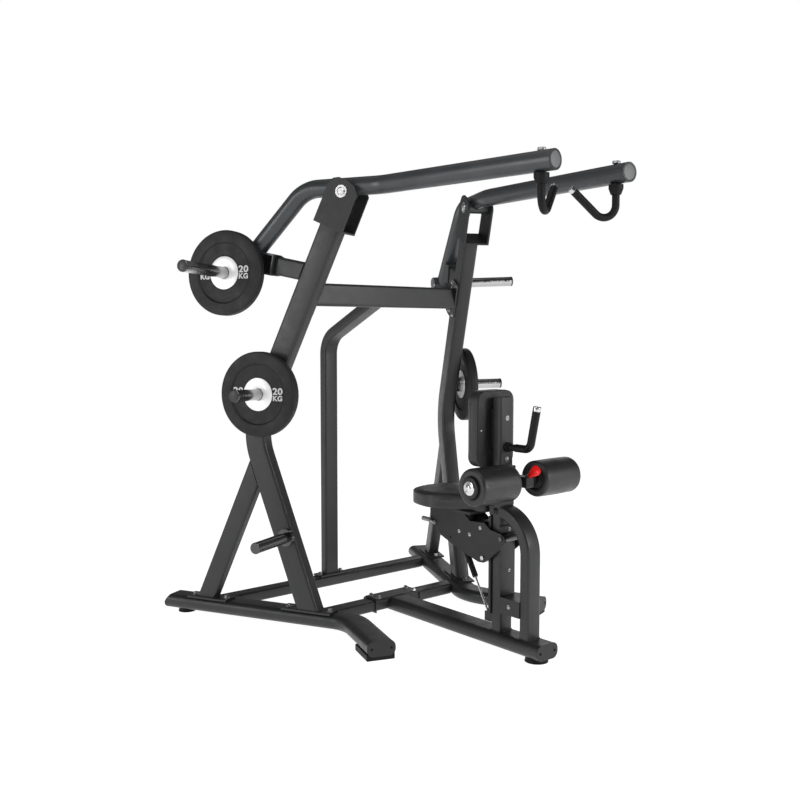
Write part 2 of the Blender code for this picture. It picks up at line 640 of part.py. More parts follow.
    # the horn passes through the tail of the arm
    boss_a = at(side, horn_s, horn_n0 + 0.0005, horn_z0)
    obj, axis, start, length = horn(horn_s, horn_n0, horn_z0, horn_tip_n, U_HORN_TILT, 0.030, 0.005, HORN_R)
    boss = cylinder(start + axis * 0.0053, start + axis * 0.096, 0.034, 24)
    join(arm, boss, "boss")
    cut(arm, cylinder(start - axis * 0.02, start + axis * 0.14, HORN_R + GAP, 24), "horn_hole")
    stem_top = Vector((side * 0.2144, -1.0358 + Y0, ARM_Z))
    cut(arm, cylinder(stem_top - Vector((0, 0, 0.08)), stem_top + Vector((0, 0, 0.08)), 0.0105, 16), "swivel_hole")
    finish(arm, word + "_arm", ARM_PAINT)
    origin = at(side, PIVOT_S, PIVOT_N, PIVOT_Z)
    baked(arm)
    finish(arm, word + "_arm", ARM_PAINT)
    origin_to(arm, origin)
    finish(obj, word + "_arm_horn", CHROME)
    plate_on(axis, horn_s, PLATE_N, horn_z0 + (PLATE_N - horn_n0) * math.tan(U_HORN_TILT), U_HORN_TILT, word + "_upper_plate")

    d = (tip - bend_2).normalized()
    finish(cylinder(tip - d * 0.010, tip - d * 0.001, 0.0322, 24), word + "_arm_plug", CAP)

    # swinging handle: stem, half-turn and slanted grip, hung from the arm's swivel bolt
    inward = -side_axes(side)[1]
    turn_r, rise = 0.050, math.radians(42)
    zc = 1.806
    pts = [Vector((0, 1.846)), Vector((0, zc))]
    for i in range(1, 13):
        a = math.radians(90 + 42) * i / 12
        pts.append(Vector((turn_r - turn_r * math.cos(a), zc - turn_r * math.sin(a))))
    last = pts[-1]
    pts.append(last + Vector((math.cos(rise), math.sin(rise))) * 0.140)
    path = [Vector((stem_top.x, stem_top.y, 0)) + inward * p.x + Vector((0, 0, p.y)) for p in pts]
    handle = round_tube(path, 0.0148, sides=3)
    collar = turned([(0.0, ARM_Z - ARM_R - 0.002), (0.0285, ARM_Z - ARM_R - 0.002), (0.0285, 1.868), (0.0200, 1.845), (0.0, 1.845)],
                    Matrix.Translation((stem_top.x, stem_top.y, 0)), 20)
    join(handle, baked(collar), "collar")
    bolt = cylinder((stem_top.x, stem_top.y, 1.86), (stem_top.x, stem_top.y, ARM_Z + ARM_R + 0.002), 0.0095, 16)
    join(handle, bolt, "bolt")
    head = cylinder((stem_top.x, stem_top.y, ARM_Z + ARM_R + 0.001), (stem_top.x, stem_top.y, ARM_Z + ARM_R + 0.010), 0.015, 16)
    join(handle, head, "head")
    baked(handle)
    finish(handle, word + "_handle", RUBBER)
    origin_to(handle, stem_top)

# ----------------------------------------------------------------------------
# Upper crossbar and the rear centre post
# ----------------------------------------------------------------------------
BAR_Y, BAR_Z, BAR_H, BAR_D = 0.100, 1.4785, 0.100, 0.050
bar = swept([(-0.6, BAR_Y), (0.6, BAR_Y)], BAR_D, BAR_H, TUBE_R, Matrix.Translation((0, Y0, BAR_Z)))
inner_n = POST_N - POST_B / 2 - GAP
for side, word in SIDES:
    fwd, out = side_axes(side)
    blade = box((-1.0, -0.5, 0.0), (1.0, 0.5, 0.6))
    third = out
    m = Matrix((fwd, third.cross(fwd), third)).transposed().to_4x4()
    m.translation = out * (inner_n - 0.004) + Vector((0, Y0, BAR_Z))
    blade.matrix_world = m
    cut(bar, blade, "trim")
for side, word in SIDES:
    fwd, out = side_axes(side)
    s_bar = post_s(BAR_Z)
    flange = outline_plate([(p[0], p[1]) for p in rounded_outline(0.086, 0.180, 0.012, 2)], FLANGE_T,
                           side_matrix(side, inner_n - FLANGE_T / 2) @ Matrix.Translation((s_bar, BAR_Z, 0)) @
                           Matrix.Rotation(-math.atan2(HIGH_DIR.x, HIGH_DIR.y), 4, "Z"))
    join(bar, flange, "flange")
for side, word in SIDES:
    # vent hole through each flange into the tube
    c = at(side, post_s(BAR_Z) , inner_n, BAR_Z)
    c.y = BAR_Y + Y0
    c.x = side * (inner_n / math.cos(SPLAY) + math.tan(SPLAY) * BAR_Y)
    out = side_axes(side)[1]
    cut(bar, cylinder(c - out * 0.03, c + out * 0.03, 0.009, 12), "vent")
finish(bar, "upper_crossbar", FRAME_PAINT)

REAR_POST_Y = 0.567
corner = (REAR_POST_Y, 1.279)
slope = 0.466
bar_back = BAR_Y + BAR_D / 2
path = fillet([(REAR_POST_Y, 0.05), corner, (bar_back - 0.04, 1.279 + (REAR_POST_Y - bar_back + 0.04) * slope)], [0.12])
cross_top = CROSS_ZC + CROSS_B / 2 + GAP
rear = swept(path, TUBE_B, TUBE_A + 0.003, TUBE_R, YZ)
cut(rear, box((-1, -1, -0.5), (1, 1, cross_top + 0.004)), "foot_trim")
cut(rear, box((-1, -1, 1.2), (1, bar_back + GAP + 0.003 + Y0, 2.0)), "bar_trim")
join(rear, box((-0.080, REAR_POST_Y - 0.040 + Y0, cross_top), (0.080, REAR_POST_Y + 0.030 + Y0, cross_top + FLANGE_T)), "foot_plate")
z_hit = 1.279 + (REAR_POST_Y - bar_back) * slope
join(rear, box((-0.060, bar_back + GAP + Y0, z_hit - 0.048), (0.060, bar_back + GAP + 0.006 + Y0, z_hit + 0.040)), "head_plate")
cut(rear, cylinder((0, REAR_POST_Y - 0.005 + Y0, cross_top - 0.02), (0, REAR_POST_Y - 0.005 + Y0, cross_top + 0.03), 0.009, 12), "vent")
finish(rear, "rear_post", FRAME_PAINT)

# ----------------------------------------------------------------------------
# Seat column: upright, arch, rails, chest post, pad and handle
# ----------------------------------------------------------------------------
COL_BACK = COLUMN_Y + TUBE_B
COL_MID = COLUMN_Y + TUBE_B / 2
SEAT_FOOT_Z = BASE_Z1 + GAP
COL_TOP = 0.6095
upright = swept([(COL_MID, SEAT_FOOT_Z), (COL_MID, COL_TOP)], TUBE_B, TUBE_A, TUBE_R, YZ)
cap_plate = box((-0.0400, COLUMN_Y - 0.0005 + Y0, COL_TOP - 0.004), (0.0400, COL_BACK + 0.008 + Y0, COL_TOP + 0.004))
join(upright, cap_plate, "top_plate")
# two lugs on the back that take the foot of the gas spring
for x in (-0.0125, 0.0125):
    lug = box((x - 0.0025, COL_BACK - 0.002 + Y0, 0.105), (x + 0.0025, -0.5660 + Y0, 0.145))
    join(upright, lug, "lug")
finish(upright, "seat_upright", FRAME_PAINT)

ARCH_R, ARCH_CY, ARCH_CZ = 0.1635, -0.6430, 0.4200
arch_pts = [(ARCH_CY - ARCH_R, SEAT_FOOT_Z)]
for i in range(0, 13):
    a = math.radians(90 * i / 12)
    arch_pts.append((ARCH_CY - ARCH_R * math.cos(a), ARCH_CZ + ARCH_R * math.sin(a)))
arch_pts.append((ARCH_CY + 0.03, ARCH_CZ + ARCH_R))
arch = swept(arch_pts, TUBE_B, TUBE_A, TUBE_R, YZ)
cut(arch, box((-0.2, COLUMN_Y - GAP + Y0, 0.05), (0.2, 0.5, 1.0)), "upright_trim")
RAIL_W = 0.088
FRONT_RAIL_T, REAR_RAIL_T = 0.006, 0.012
TIE_Z0, TIE_Z1 = 0.165, 0.2325
front_rail = box((-RAIL_W / 2, COLUMN_Y - GAP - FRONT_RAIL_T + Y0, TIE_Z1 + GAP), (RAIL_W / 2, COLUMN_Y - GAP + Y0, 0.5250), bevel=0.0015, segments=1)
finish(front_rail, "front_guide_rail", FRAME_PAINT)
rear_rail = box((-RAIL_W / 2, COL_BACK + GAP + Y0, 0.150), (RAIL_W / 2, COL_BACK + GAP + REAR_RAIL_T + Y0, 0.560), bevel=0.0015, segments=1)
finish(rear_rail, "rear_guide_rail", FRAME_PAINT)
arch_back = ARCH_CY - ARCH_R + TUBE_B / 2
tie = box((-RAIL_W / 2 + 0.002, arch_back - 0.006 + Y0, TIE_Z0), (RAIL_W / 2 - 0.002, COLUMN_Y - GAP + Y0, TIE_Z1))
join(arch, tie, "tie")
finish(arch, "seat_arch", FRAME_PAINT)

POST_TOP = 1.050
CHEST_FOOT = COL_TOP + 0.004 + GAP
chest = swept([(COL_MID + 0.0015, CHEST_FOOT + 0.004), (COL_MID + 0.0015, POST_TOP)], TUBE_B, TUBE_A, TUBE_R, YZ)
join(chest, box((-0.0400, COLUMN_Y - 0.0005 + Y0, CHEST_FOOT), (0.0400, COL_BACK + 0.008 + Y0, CHEST_FOOT + 0.008)), "foot_plate")
PAD_Y0 = COL_BACK + 0.0015 + 0.012
join(chest, box((-0.030, COL_BACK - 0.001 + Y0, 0.850), (0.030, PAD_Y0 - GAP + Y0, 1.000)), "pad_mount")
finish(chest, "chest_post", FRAME_PAINT)

pad_profile = rounded_outline(0.209, 0.316, 0.044, 4)
pad = outline_plate(pad_profile, 0.072, axis_matrix((0, PAD_Y0 + 0.036 + Y0, 0.918), (0, 1, 0)) @ Matrix.Identity(4))
finish(pad, "chest_pad", VINYL)

handle_pts = fillet([(0, COLUMN_Y + 0.0015 - GAP, 0.8470), (0, -0.7990, 0.8470), (0, -0.8360, 1.0220)], [0.034])
chest_handle = round_tube([Vector((p[0], p[1] + Y0, p[2])) for p in handle_pts], 0.0140, sides=3)
join(chest_handle, cylinder((0, COLUMN_Y + 0.0015 - GAP + Y0, 0.847), (0, COLUMN_Y - 0.010 + Y0, 0.847), 0.020, 20), "root")
finish(chest_handle, "chest_handle", RUBBER)

# ----------------------------------------------------------------------------
# Thigh rollers on their sliding bracket, and its pull pin
# ----------------------------------------------------------------------------
SLV = 0.0012
SLV_T = 0.005
CH_F = COLUMN_Y + 0.0015
CH_B = CH_F + TUBE_B
sleeve = box((-TUBE_A / 2 - SLV - SLV_T, CH_F - SLV - SLV_T + Y0, 0.672), (TUBE_A / 2 + SLV + SLV_T, CH_B + SLV + SLV_T + Y0, 0.768))
cut(sleeve, box((-TUBE_A / 2 - SLV, CH_F - SLV + Y0, 0.5), (TUBE_A / 2 + SLV, CH_B + SLV + Y0, 1.0)), "post_hole")
nose_box = box((-0.0225, -0.802 + Y0, 0.694), (0.0225, CH_F - SLV - SLV_T + 0.002 + Y0, 0.738), bevel=0.003, segments=1)
join(sleeve, nose_box, "nose")
AXLE_R = 0.0125
axle = cylinder((-ROLL_OUT - 0.013, ROLL_Y + Y0, ROLL_Z), (ROLL_OUT + 0.013, ROLL_Y + Y0, ROLL_Z), AXLE_R, 20)
join(sleeve, axle, "axle")
for side in (-1, 1):
    join(sleeve, cylinder((side * 0.0675, ROLL_Y + Y0, ROLL_Z), (side * 0.020, ROLL_Y + Y0, ROLL_Z), 0.021, 20), "shoulder")
PIN_DIR = Vector((0, -0.80, 0.60)).normalized()
PIN_C = Vector((0, -0.790 + Y0, 0.737))
pin_tube = cylinder(PIN_C - PIN_DIR * 0.022, PIN_C + PIN_DIR * 0.004, 0.0105, 16)
join(sleeve, pin_tube, "pin_tube")
cut(sleeve, cylinder(PIN_C - PIN_DIR * 0.012, PIN_C + PIN_DIR * 0.05, 0.0062, 12), "pin_hole")
finish(sleeve, "roller_bracket", FRAME_PAINT)

knob_profile = [(0.0, 0.062), (0.013, 0.0615), (0.0190, 0.0575), (0.0210, 0.050), (0.0180, 0.034), (0.0110, 0.017), (0.0095, 0.0075), (0.0052, 0.0070), (0.0052, -0.008), (0.0, -0.008)]
knob = turned(knob_profile, axis_matrix(PIN_C + PIN_DIR * 0.0010, PIN_DIR), 20)
finish(knob, "pull_pin", RED)

for side, word in SIDES:
    m = axis_matrix((side * ROLL_IN, ROLL_Y + Y0, ROLL_Z), (side, 0, 0))
    r = ROLL_R
    length = ROLL_OUT - ROLL_IN
    profile = [(AXLE_R + 0.0005, length + 0.009), (0.040, length + 0.009), (0.043, length + 0.006), (0.043, length), (r - 0.012, length),
               (r - 0.004, length - 0.004), (r, length - 0.012), (r, 0.012),
               (r - 0.004, 0.004), (r - 0.012, 0.0), (AXLE_R + 0.0005, 0.0), (AXLE_R + 0.0005, length + 0.009)]
    finish(turned(profile, m, 32), word + "_thigh_roller", VINYL)

# ----------------------------------------------------------------------------
# Seat carriage, guide rollers, release lever, gas spring and seat pad
# ----------------------------------------------------------------------------
PLATE_X, PLATE_THK = 0.0550, 0.006
carriage_outline = [(-0.268, 0.544), (-0.464, 0.5635), (-0.519, 0.5247), (-0.602, 0.529), (-0.637, 0.5055), (-0.694, 0.498),
                    (-0.716, 0.4855), (-0.724, 0.466), (-0.696, 0.436), (-0.6265, 0.3785), (-0.600, 0.362), (-0.570, 0.3600), (-0.478, 0.3855),
                    (-0.4035, 0.4113), (-0.340, 0.4356), (-0.2745, 0.4915)]
carriage = outline_plate(carriage_outline, PLATE_THK, YZ @ Matrix.Translation((0, 0, -PLATE_X)))
other = outline_plate(carriage_outline, PLATE_THK, YZ @ Matrix.Translation((0, 0, PLATE_X)))
join(carriage, other, "plate")
# cross pieces between the plates, and the sloping seat tray on top
join(carriage, box((-PLATE_X - 0.001, -0.560 + Y0, 0.486), (PLATE_X + 0.001, -0.500 + Y0, 0.522)), "cross")
join(carriage, box((-PLATE_X - 0.001, -0.440 + Y0, 0.500), (PLATE_X + 0.001, -0.300 + Y0, 0.538)), "cross")
join(carriage, box((-0.100, -0.560 + Y0, 0.5602), (0.100, -0.262 + Y0, 0.5717)), "tray")
join(carriage, box((-PLATE_X - 0.003, -0.440 + Y0, 0.530), (PLATE_X + 0.003, -0.280 + Y0, 0.5665)), "riser")
FR_Y, FR_Z, FR_R = COLUMN_Y - GAP - FRONT_RAIL_T - GAP - 0.0155, 0.477, 0.0155
RR_Y, RR_Z, RR_R = COL_BACK + GAP + REAR_RAIL_T + GAP + 0.019, 0.381, 0.019
LEVER_Y, LEVER_Z = -0.300, 0.500
for y, z in ((FR_Y, FR_Z), (RR_Y, RR_Z)):
    cut(carriage, cylinder((-0.1, y + Y0, z), (0.1, y + Y0, z), 0.0066, 12), "axle_hole")
cut(carriage, cylinder((-0.1, LEVER_Y + Y0, 0.486), (0.1, LEVER_Y + Y0, 0.486), 0.0056, 12), "lever_hole")
GS_TOP = Vector((0.0, -0.4020, 0.4380))
cut(carriage, cylinder((-0.1, GS_TOP.y + Y0, GS_TOP.z), (0.1, GS_TOP.y + Y0, GS_TOP.z), 0.0056, 12), "spring_hole")
finish(carriage, "seat_carriage", FRAME_PAINT)

for (y, z, r), name in (((FR_Y, FR_Z, FR_R), "front_guide_roller"), ((RR_Y, RR_Z, RR_R), "rear_guide_roller")):
    w = PLATE_X - PLATE_THK / 2 - 0.001
    e = PLATE_X + PLATE_THK / 2 + GAP
    profile = [(0.0, e + 0.005), (0.009, e + 0.005), (0.009, e), (0.006, e), (0.006, w), (r, w), (r, -w), (0.006, -w),
               (0.006, -e), (0.009, -e), (0.009, -e - 0.005), (0.0, -e - 0.005)]
    finish(turned(profile, axis_matrix((0, y + Y0, z), (1, 0, 0)), 20), name, STEEL)

# seat pad: a rounded saddle outline, broad behind and narrow at the front, with a crowned top
SEAT_Z0 = 0.5720


def cushion(outline, levels, middle):
    """An upright block whose outline shrinks towards its middle from level to level."""
    bm = bmesh.new()
    rings = []
    for k, z in levels:
        rings.append([bm.verts.new((middle[0] + (x - middle[0]) * k, middle[1] + (y - middle[1]) * k + Y0, z)) for x, y in outline])
    for low, high in zip(rings, rings[1:]):
        for i in range(len(outline)):
            j = (i + 1) % len(outline)
            bm.faces.new((low[i], low[j], high[j], high[i]))
    bm.faces.new(rings[0][::-1])
    bm.faces.new(rings[-1])
    bmesh.ops.recalc_face_normals(bm, faces=bm.faces[:])
    return new_mesh_object("cushion", bm)


half_outline = [(0.0, -0.190), (0.055, -0.194), (0.100, -0.208), (0.133, -0.238), (0.152, -0.285), (0.162, -0.340), (0.162, -0.378),
                (0.150, -0.410), (0.128, -0.445), (0.098, -0.498), (0.075, -0.550), (0.062, -0.585), (0.045, -0.600), (0.0, -0.602)]
seat_outline = half_outline + [(-x, y) for x, y in reversed(half_outline[1:-1])]
seat = cushion(seat_outline, [(1.0, SEAT_Z0), (1.0, 0.628), (0.965, 0.6355), (0.80, 0.6415), (0.45, 0.6440)], (0.0, -0.385))
finish(seat, "seat_pad", VINYL)

# release lever: a bar through the carriage with a paddle at each end
lever = round_tube(fillet([(-0.066, LEVER_Y + Y0, 0.486), (0.066, LEVER_Y + Y0, 0.486)], []), 0.0052, sides=2)
join(lever, cylinder((-0.0635, LEVER_Y + Y0, 0.486), (-0.0585, LEVER_Y + Y0, 0.486), 0.0085, 14), "boss")
join(lever, round_tube([Vector((-0.0645, LEVER_Y - 0.002 + Y0, 0.486)), Vector((-0.0670, LEVER_Y + 0.026 + Y0, 0.4945))], 0.0045, sides=2), "neck")
join(lever, cylinder((-0.0670, LEVER_Y + 0.020 + Y0, 0.4946), (-0.0670, LEVER_Y + 0.068 + Y0, 0.4958), 0.0085, 18), "grip")
finish(lever, "seat_release_lever", CHROME)

# gas spring between the carriage and the foot of the column
GS_BASE = Vector((0.0, -0.5800, 0.1250))
gs_dir = (GS_BASE - GS_TOP).normalized()
eye_w = 0.010
top = Vector((0, GS_TOP.y + Y0, GS_TOP.z))
cyl = turned([(0.0, -0.006), (0.0085, -0.006), (0.0125, -0.012), (0.0125, -0.186), (0.0100, -0.190), (0.0049, -0.190), (0.0049, -0.020), (0.0, -0.020)],
             axis_matrix(top, -gs_dir), 18)
baked(cyl)
join(cyl, cylinder(top + Vector((-eye_w, 0, 0)), top + Vector((eye_w, 0, 0)), 0.0115, 16), "eye")
pin = cylinder(top + Vector((-PLATE_X + PLATE_THK / 2 + 0.0005, 0, 0)), top + Vector((PLATE_X - PLATE_THK / 2 - 0.0005, 0, 0)), 0.005, 12)
join(cyl, pin, "pin")
finish(cyl, "gas_spring_cylinder", RUBBER)
base = Vector((0, GS_BASE.y + Y0, GS_BASE.z))
length = (GS_BASE - GS_TOP).length
rod = turned([(0.0, length - 0.095), (0.0044, length - 0.095), (0.0044, 0.004), (0.0, 0.004)], axis_matrix(base, -gs_dir), 14)
baked(rod)
join(rod, cylinder(base + Vector((-0.006, 0, 0)), base + Vector((0.006, 0, 0)), 0.0100, 16), "eye")
finish(rod, "gas_spring_rod", CHROME)
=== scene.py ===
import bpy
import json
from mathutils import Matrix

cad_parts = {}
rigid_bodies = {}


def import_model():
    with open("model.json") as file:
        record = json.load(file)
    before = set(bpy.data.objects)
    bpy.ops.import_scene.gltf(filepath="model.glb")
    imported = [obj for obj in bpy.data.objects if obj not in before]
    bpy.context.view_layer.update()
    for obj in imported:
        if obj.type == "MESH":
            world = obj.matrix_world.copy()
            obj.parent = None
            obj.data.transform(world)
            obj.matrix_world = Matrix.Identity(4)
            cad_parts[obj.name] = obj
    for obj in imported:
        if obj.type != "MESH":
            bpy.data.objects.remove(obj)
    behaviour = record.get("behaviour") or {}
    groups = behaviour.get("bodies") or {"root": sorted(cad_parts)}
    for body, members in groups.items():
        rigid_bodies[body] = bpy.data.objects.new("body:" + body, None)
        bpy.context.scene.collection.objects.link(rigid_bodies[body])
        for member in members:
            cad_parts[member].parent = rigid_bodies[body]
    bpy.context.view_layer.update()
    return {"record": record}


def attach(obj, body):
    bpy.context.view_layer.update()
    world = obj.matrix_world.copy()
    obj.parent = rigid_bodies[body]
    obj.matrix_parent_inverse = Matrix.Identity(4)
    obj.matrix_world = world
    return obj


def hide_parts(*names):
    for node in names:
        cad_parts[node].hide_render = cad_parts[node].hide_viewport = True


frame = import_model()

"""Visual model of the plate-loaded lat pulldown machine. Metres, +Z up, in the CAD model's frame.

The metalwork is made again at a fine resolution from the same dimensions as the CAD model,
and the pads, bolts, grips, welds, plate faces and other trim are added to it.
"""
import bpy
import bmesh
import json
import math
import random
from mathutils import Matrix, Vector, noise
from mathutils.bvhtree import BVHTree

random.seed(7)
bpy.context.scene.view_settings.view_transform = "Standard"
bpy.context.scene.view_settings.look = "None"


# ----------------------------------------------------------------------------
# Finishes: every one is made of nodes, with grain, bump and wear
# ----------------------------------------------------------------------------
def surface(name, base, rough, metallic=0.0, tint=0.12, rough_var=0.07, grain_scale=900.0, grain_bump=0.12, grain_depth=0.0004,
            cells=False, coat=0.0, coat_rough=0.2, specular=0.5, scuffs=0.0, scuff_colour=(0.22, 0.22, 0.22), streaks=0.0, dust=0.0):
    m = bpy.data.materials.new(name)
    m.use_nodes = True
    t = m.node_tree
    shader = t.nodes["Principled BSDF"]
    shader.inputs["Metallic"].default_value = metallic
    shader.inputs["Specular IOR Level"].default_value = specular
    shader.inputs["Coat Weight"].default_value = coat
    shader.inputs["Coat Roughness"].default_value = coat_rough
    place = t.nodes.new("ShaderNodeTexCoord")

    def noise_node(scale, detail=3.0, roughness=0.55, stretch=None):
        n = t.nodes.new("ShaderNodeTexNoise")
        n.inputs["Scale"].default_value = scale
        n.inputs["Detail"].default_value = detail
        n.inputs["Roughness"].default_value = roughness
        if stretch:
            s = t.nodes.new("ShaderNodeMapping")
            s.inputs["Scale"].default_value = stretch
            t.links.new(place.outputs["Object"], s.inputs["Vector"])
            t.links.new(s.outputs["Vector"], n.inputs["Vector"])
        else:
            t.links.new(place.outputs["Object"], n.inputs["Vector"])
        return n

    def ranged(source, lo, hi, to_lo, to_hi):
        r = t.nodes.new("ShaderNodeMapRange")
        r.inputs["From Min"].default_value = lo
        r.inputs["From Max"].default_value = hi
        r.inputs["To Min"].default_value = to_lo
        r.inputs["To Max"].default_value = to_hi
        t.links.new(source, r.inputs["Value"])
        return r.outputs["Result"]

    def mixed(factor, a, b):
        x = t.nodes.new("ShaderNodeMix")
        x.data_type = "RGBA"
        t.links.new(factor, x.inputs["Factor"])
        ins = [s for s in x.inputs if s.type == "RGBA"]
        for socket, value in zip(ins, (a, b)):
            if isinstance(value, tuple):
                socket.default_value = (*value, 1.0)
            else:
                t.links.new(value, socket)
        return [s for s in x.outputs if s.type == "RGBA"][0]

    # slow colour drift
    low = tuple(max(0.0, c * (1 - tint)) for c in base)
    high = tuple(min(1.0, c * (1 + tint)) for c in base)
    colour = mixed(ranged(noise_node(7.0).outputs["Fac"], 0.35, 0.65, 0.0, 1.0), low, high)
    if dust:
        # a little pale dust held in the grain
        fine = ranged(noise_node(160.0, 5.0, 0.7).outputs["Fac"], 0.52, 0.78, 0.0, dust)
        colour = mixed(fine, colour, tuple(min(1.0, c + 0.09) for c in base))
    if scuffs:
        # fine rubbed marks, longer than they are wide
        marks = ranged(noise_node(46.0, 6.0, 0.75, (1.0, 1.0, 5.0)).outputs["Fac"], 0.66, 0.74, 0.0, scuffs)
        colour = mixed(marks, colour, scuff_colour)
    t.links.new(colour, shader.inputs["Base Color"])

    broad = noise_node(24.0, 4.0, 0.6)
    rough_out = ranged(broad.outputs["Fac"], 0.3, 0.7, max(0.02, rough - rough_var), min(1.0, rough + rough_var))
    t.links.new(rough_out, shader.inputs["Roughness"])

    if cells:
        grain = t.nodes.new("ShaderNodeTexVoronoi")
        grain.feature = "DISTANCE_TO_EDGE"
        grain.inputs["Scale"].default_value = grain_scale
        warp = noise_node(grain_scale * 0.4, 2.0)
        add = t.nodes.new("ShaderNodeMixRGB")
        add.blend_type = "ADD"
        add.inputs["Fac"].default_value = 0.0022
        t.links.new(place.outputs["Object"], add.inputs["Color1"])
        t.links.new(warp.outputs["Color"], add.inputs["Color2"])
        t.links.new(add.outputs["Color"], grain.inputs["Vector"])
        height = ranged(grain.outputs["Distance"], 0.0, 0.28, 0.0, 1.0)
    elif streaks:
        height = noise_node(grain_scale, 3.0, 0.6, (1.0, 1.0, streaks)).outputs["Fac"]
    else:
        height = noise_node(grain_scale, 2.0, 0.5).outputs["Fac"]
    bump = t.nodes.new("ShaderNodeBump")
    bump.inputs["Strength"].default_value = grain_bump
    bump.inputs["Distance"].default_value = grain_depth
    t.links.new(height, bump.inputs["Height"])
    t.links.new(bump.outputs["Normal"], shader.inputs["Normal"])
    return m


LOOKS = {
    "frame_paint": surface("frame_paint", (0.0215, 0.0218, 0.0225), 0.40, 0.0, 0.10, 0.06, 700.0, 0.16, 0.0004, scuffs=0.10, scuff_colour=(0.075, 0.075, 0.076), specular=0.42, coat=0.06, coat_rough=0.35),
    "arm_paint": surface("arm_paint", (0.036, 0.040, 0.043), 0.34, 0.20, 0.12, 0.06, 700.0, 0.09, 0.0003, scuffs=0.08, scuff_colour=(0.10, 0.10, 0.105), specular=0.5, coat=0.16, coat_rough=0.25),
    "bracket_paint": surface("bracket_paint", (0.0185, 0.0187, 0.0190), 0.46, 0.0, 0.10, 0.06, 700.0, 0.16, 0.0004, scuffs=0.10, scuff_colour=(0.07, 0.07, 0.07), specular=0.36),
    "chrome": surface("chrome", (0.66, 0.66, 0.67), 0.15, 1.0, 0.04, 0.06, 420.0, 0.05, 0.0002, streaks=6.0),
    "zinc_steel": surface("zinc_steel", (0.56, 0.56, 0.57), 0.27, 1.0, 0.06, 0.08, 900.0, 0.08, 0.0002),
    "horn_steel": surface("horn_steel", (0.46, 0.46, 0.465), 0.20, 1.0, 0.07, 0.07, 380.0, 0.10, 0.0002, streaks=5.0),
    "satin_steel": surface("satin_steel", (0.36, 0.36, 0.365), 0.38, 0.7, 0.06, 0.06, 700.0, 0.08, 0.0002),
    "dark_horn": surface("dark_horn", (0.085, 0.085, 0.088), 0.22, 0.9, 0.10, 0.07, 380.0, 0.10, 0.0002, streaks=5.0, coat=0.3, coat_rough=0.15),
    "horn_end": surface("horn_end", (0.030, 0.030, 0.031), 0.42, 0.2, 0.15, 0.08, 500.0, 0.12, 0.0003),
    "black_rubber": surface("black_rubber", (0.0055, 0.0055, 0.0058), 0.55, 0.0, 0.18, 0.10, 850.0, 0.30, 0.0006, dust=0.03, specular=0.18),
    "grip_rubber": surface("grip_rubber", (0.0042, 0.0042, 0.0044), 0.40, 0.0, 0.15, 0.08, 1100.0, 0.20, 0.0005, specular=0.22),
    "plate_rubber": surface("plate_rubber", (0.0115, 0.0115, 0.0118), 0.55, 0.0, 0.15, 0.09, 800.0, 0.30, 0.0006, dust=0.06, scuffs=0.05, scuff_colour=(0.05, 0.05, 0.05), specular=0.32),
    "black_vinyl": surface("black_vinyl", (0.0125, 0.0125, 0.0130), 0.38, 0.0, 0.14, 0.08, 560.0, 0.34, 0.0005, cells=True, specular=0.5, coat=0.08, coat_rough=0.3),
    "vinyl_side": surface("vinyl_side", (0.0095, 0.0095, 0.0100), 0.46, 0.0, 0.14, 0.08, 560.0, 0.34, 0.0005, cells=True, specular=0.45),
    "thread": surface("thread", (0.020, 0.020, 0.021), 0.75, 0.0, 0.10, 0.06, 1500.0, 0.5, 0.0004),
    "board": surface("board", (0.008, 0.008, 0.008), 0.66, 0.0, 0.2, 0.08, 500.0, 0.3, 0.0005),
    "red_knob": surface("red_knob", (0.72, 0.003, 0.002), 0.42, 0.0, 0.06, 0.05, 700.0, 0.05, 0.0002, coat=0.08, coat_rough=0.25, specular=0.25),
    "grey_cap": surface("grey_cap", (0.135, 0.137, 0.140), 0.50, 0.0, 0.06, 0.06, 800.0, 0.25, 0.0004, specular=0.4),
    "dark_cap": surface("dark_cap", (0.0085, 0.0085, 0.0090), 0.46, 0.0, 0.12, 0.07, 800.0, 0.25, 0.0004, specular=0.4),
    "white_print": surface("white_print", (0.62, 0.62, 0.62), 0.55, 0.0, 0.05, 0.06, 900.0, 0.2, 0.0003),
    # plate hub rings: near-white base with little metal, a painted reflection standing in for bright steel
    "hub_steel_painted_reflection": surface("hub_steel_painted_reflection", (0.93, 0.93, 0.93), 0.40, 0.30, 0.05, 0.08, 300.0, 0.10, 0.0002),
    "weld": surface("weld", (0.019, 0.0195, 0.0205), 0.42, 0.0, 0.1, 0.06, 260.0, 0.5, 0.0012, specular=0.4),
}

BODY_OF = {node: body for body, nodes in frame["record"]["behaviour"]["bodies"].items() for node in nodes}
LOOK_OF = {}

# ----------------------------------------------------------------------------
# Driving dimensions
# ----------------------------------------------------------------------------
Y0 = 0.1543                    # puts the middle of the machine's depth on Y = 0
SPLAY = math.radians(26.5)     # plan angle of each side frame to the centre line
GAP = 0.0003                   # clearance kept between touching pieces

FOOT_H = 0.0185                # rubber foot height
BASE_W, BASE_H, BASE_R = 0.120, 0.0625, 0.027    # flat-oval base tube
BASE_Z0 = FOOT_H + GAP
BASE_Z1 = BASE_Z0 + BASE_H
FLANGE_T = 0.008
WALL = 0.003

POST_D, POST_B, POST_R = 0.104, 0.068, 0.014    # main post section, in plane x across
LEG_D, LEG_B, LEG_R = 0.086, 0.056, 0.012       # rear leg section
POST_N = 0.373                 # post mid-plane
SKID_N = 0.355                 # skid centre line

TUBE_A, TUBE_B, TUBE_R = 0.077, 0.050, 0.012    # seat, chest and rear tubes
CROSS_A, CROSS_B = 0.080, 0.050                 # cross tubes on the floor

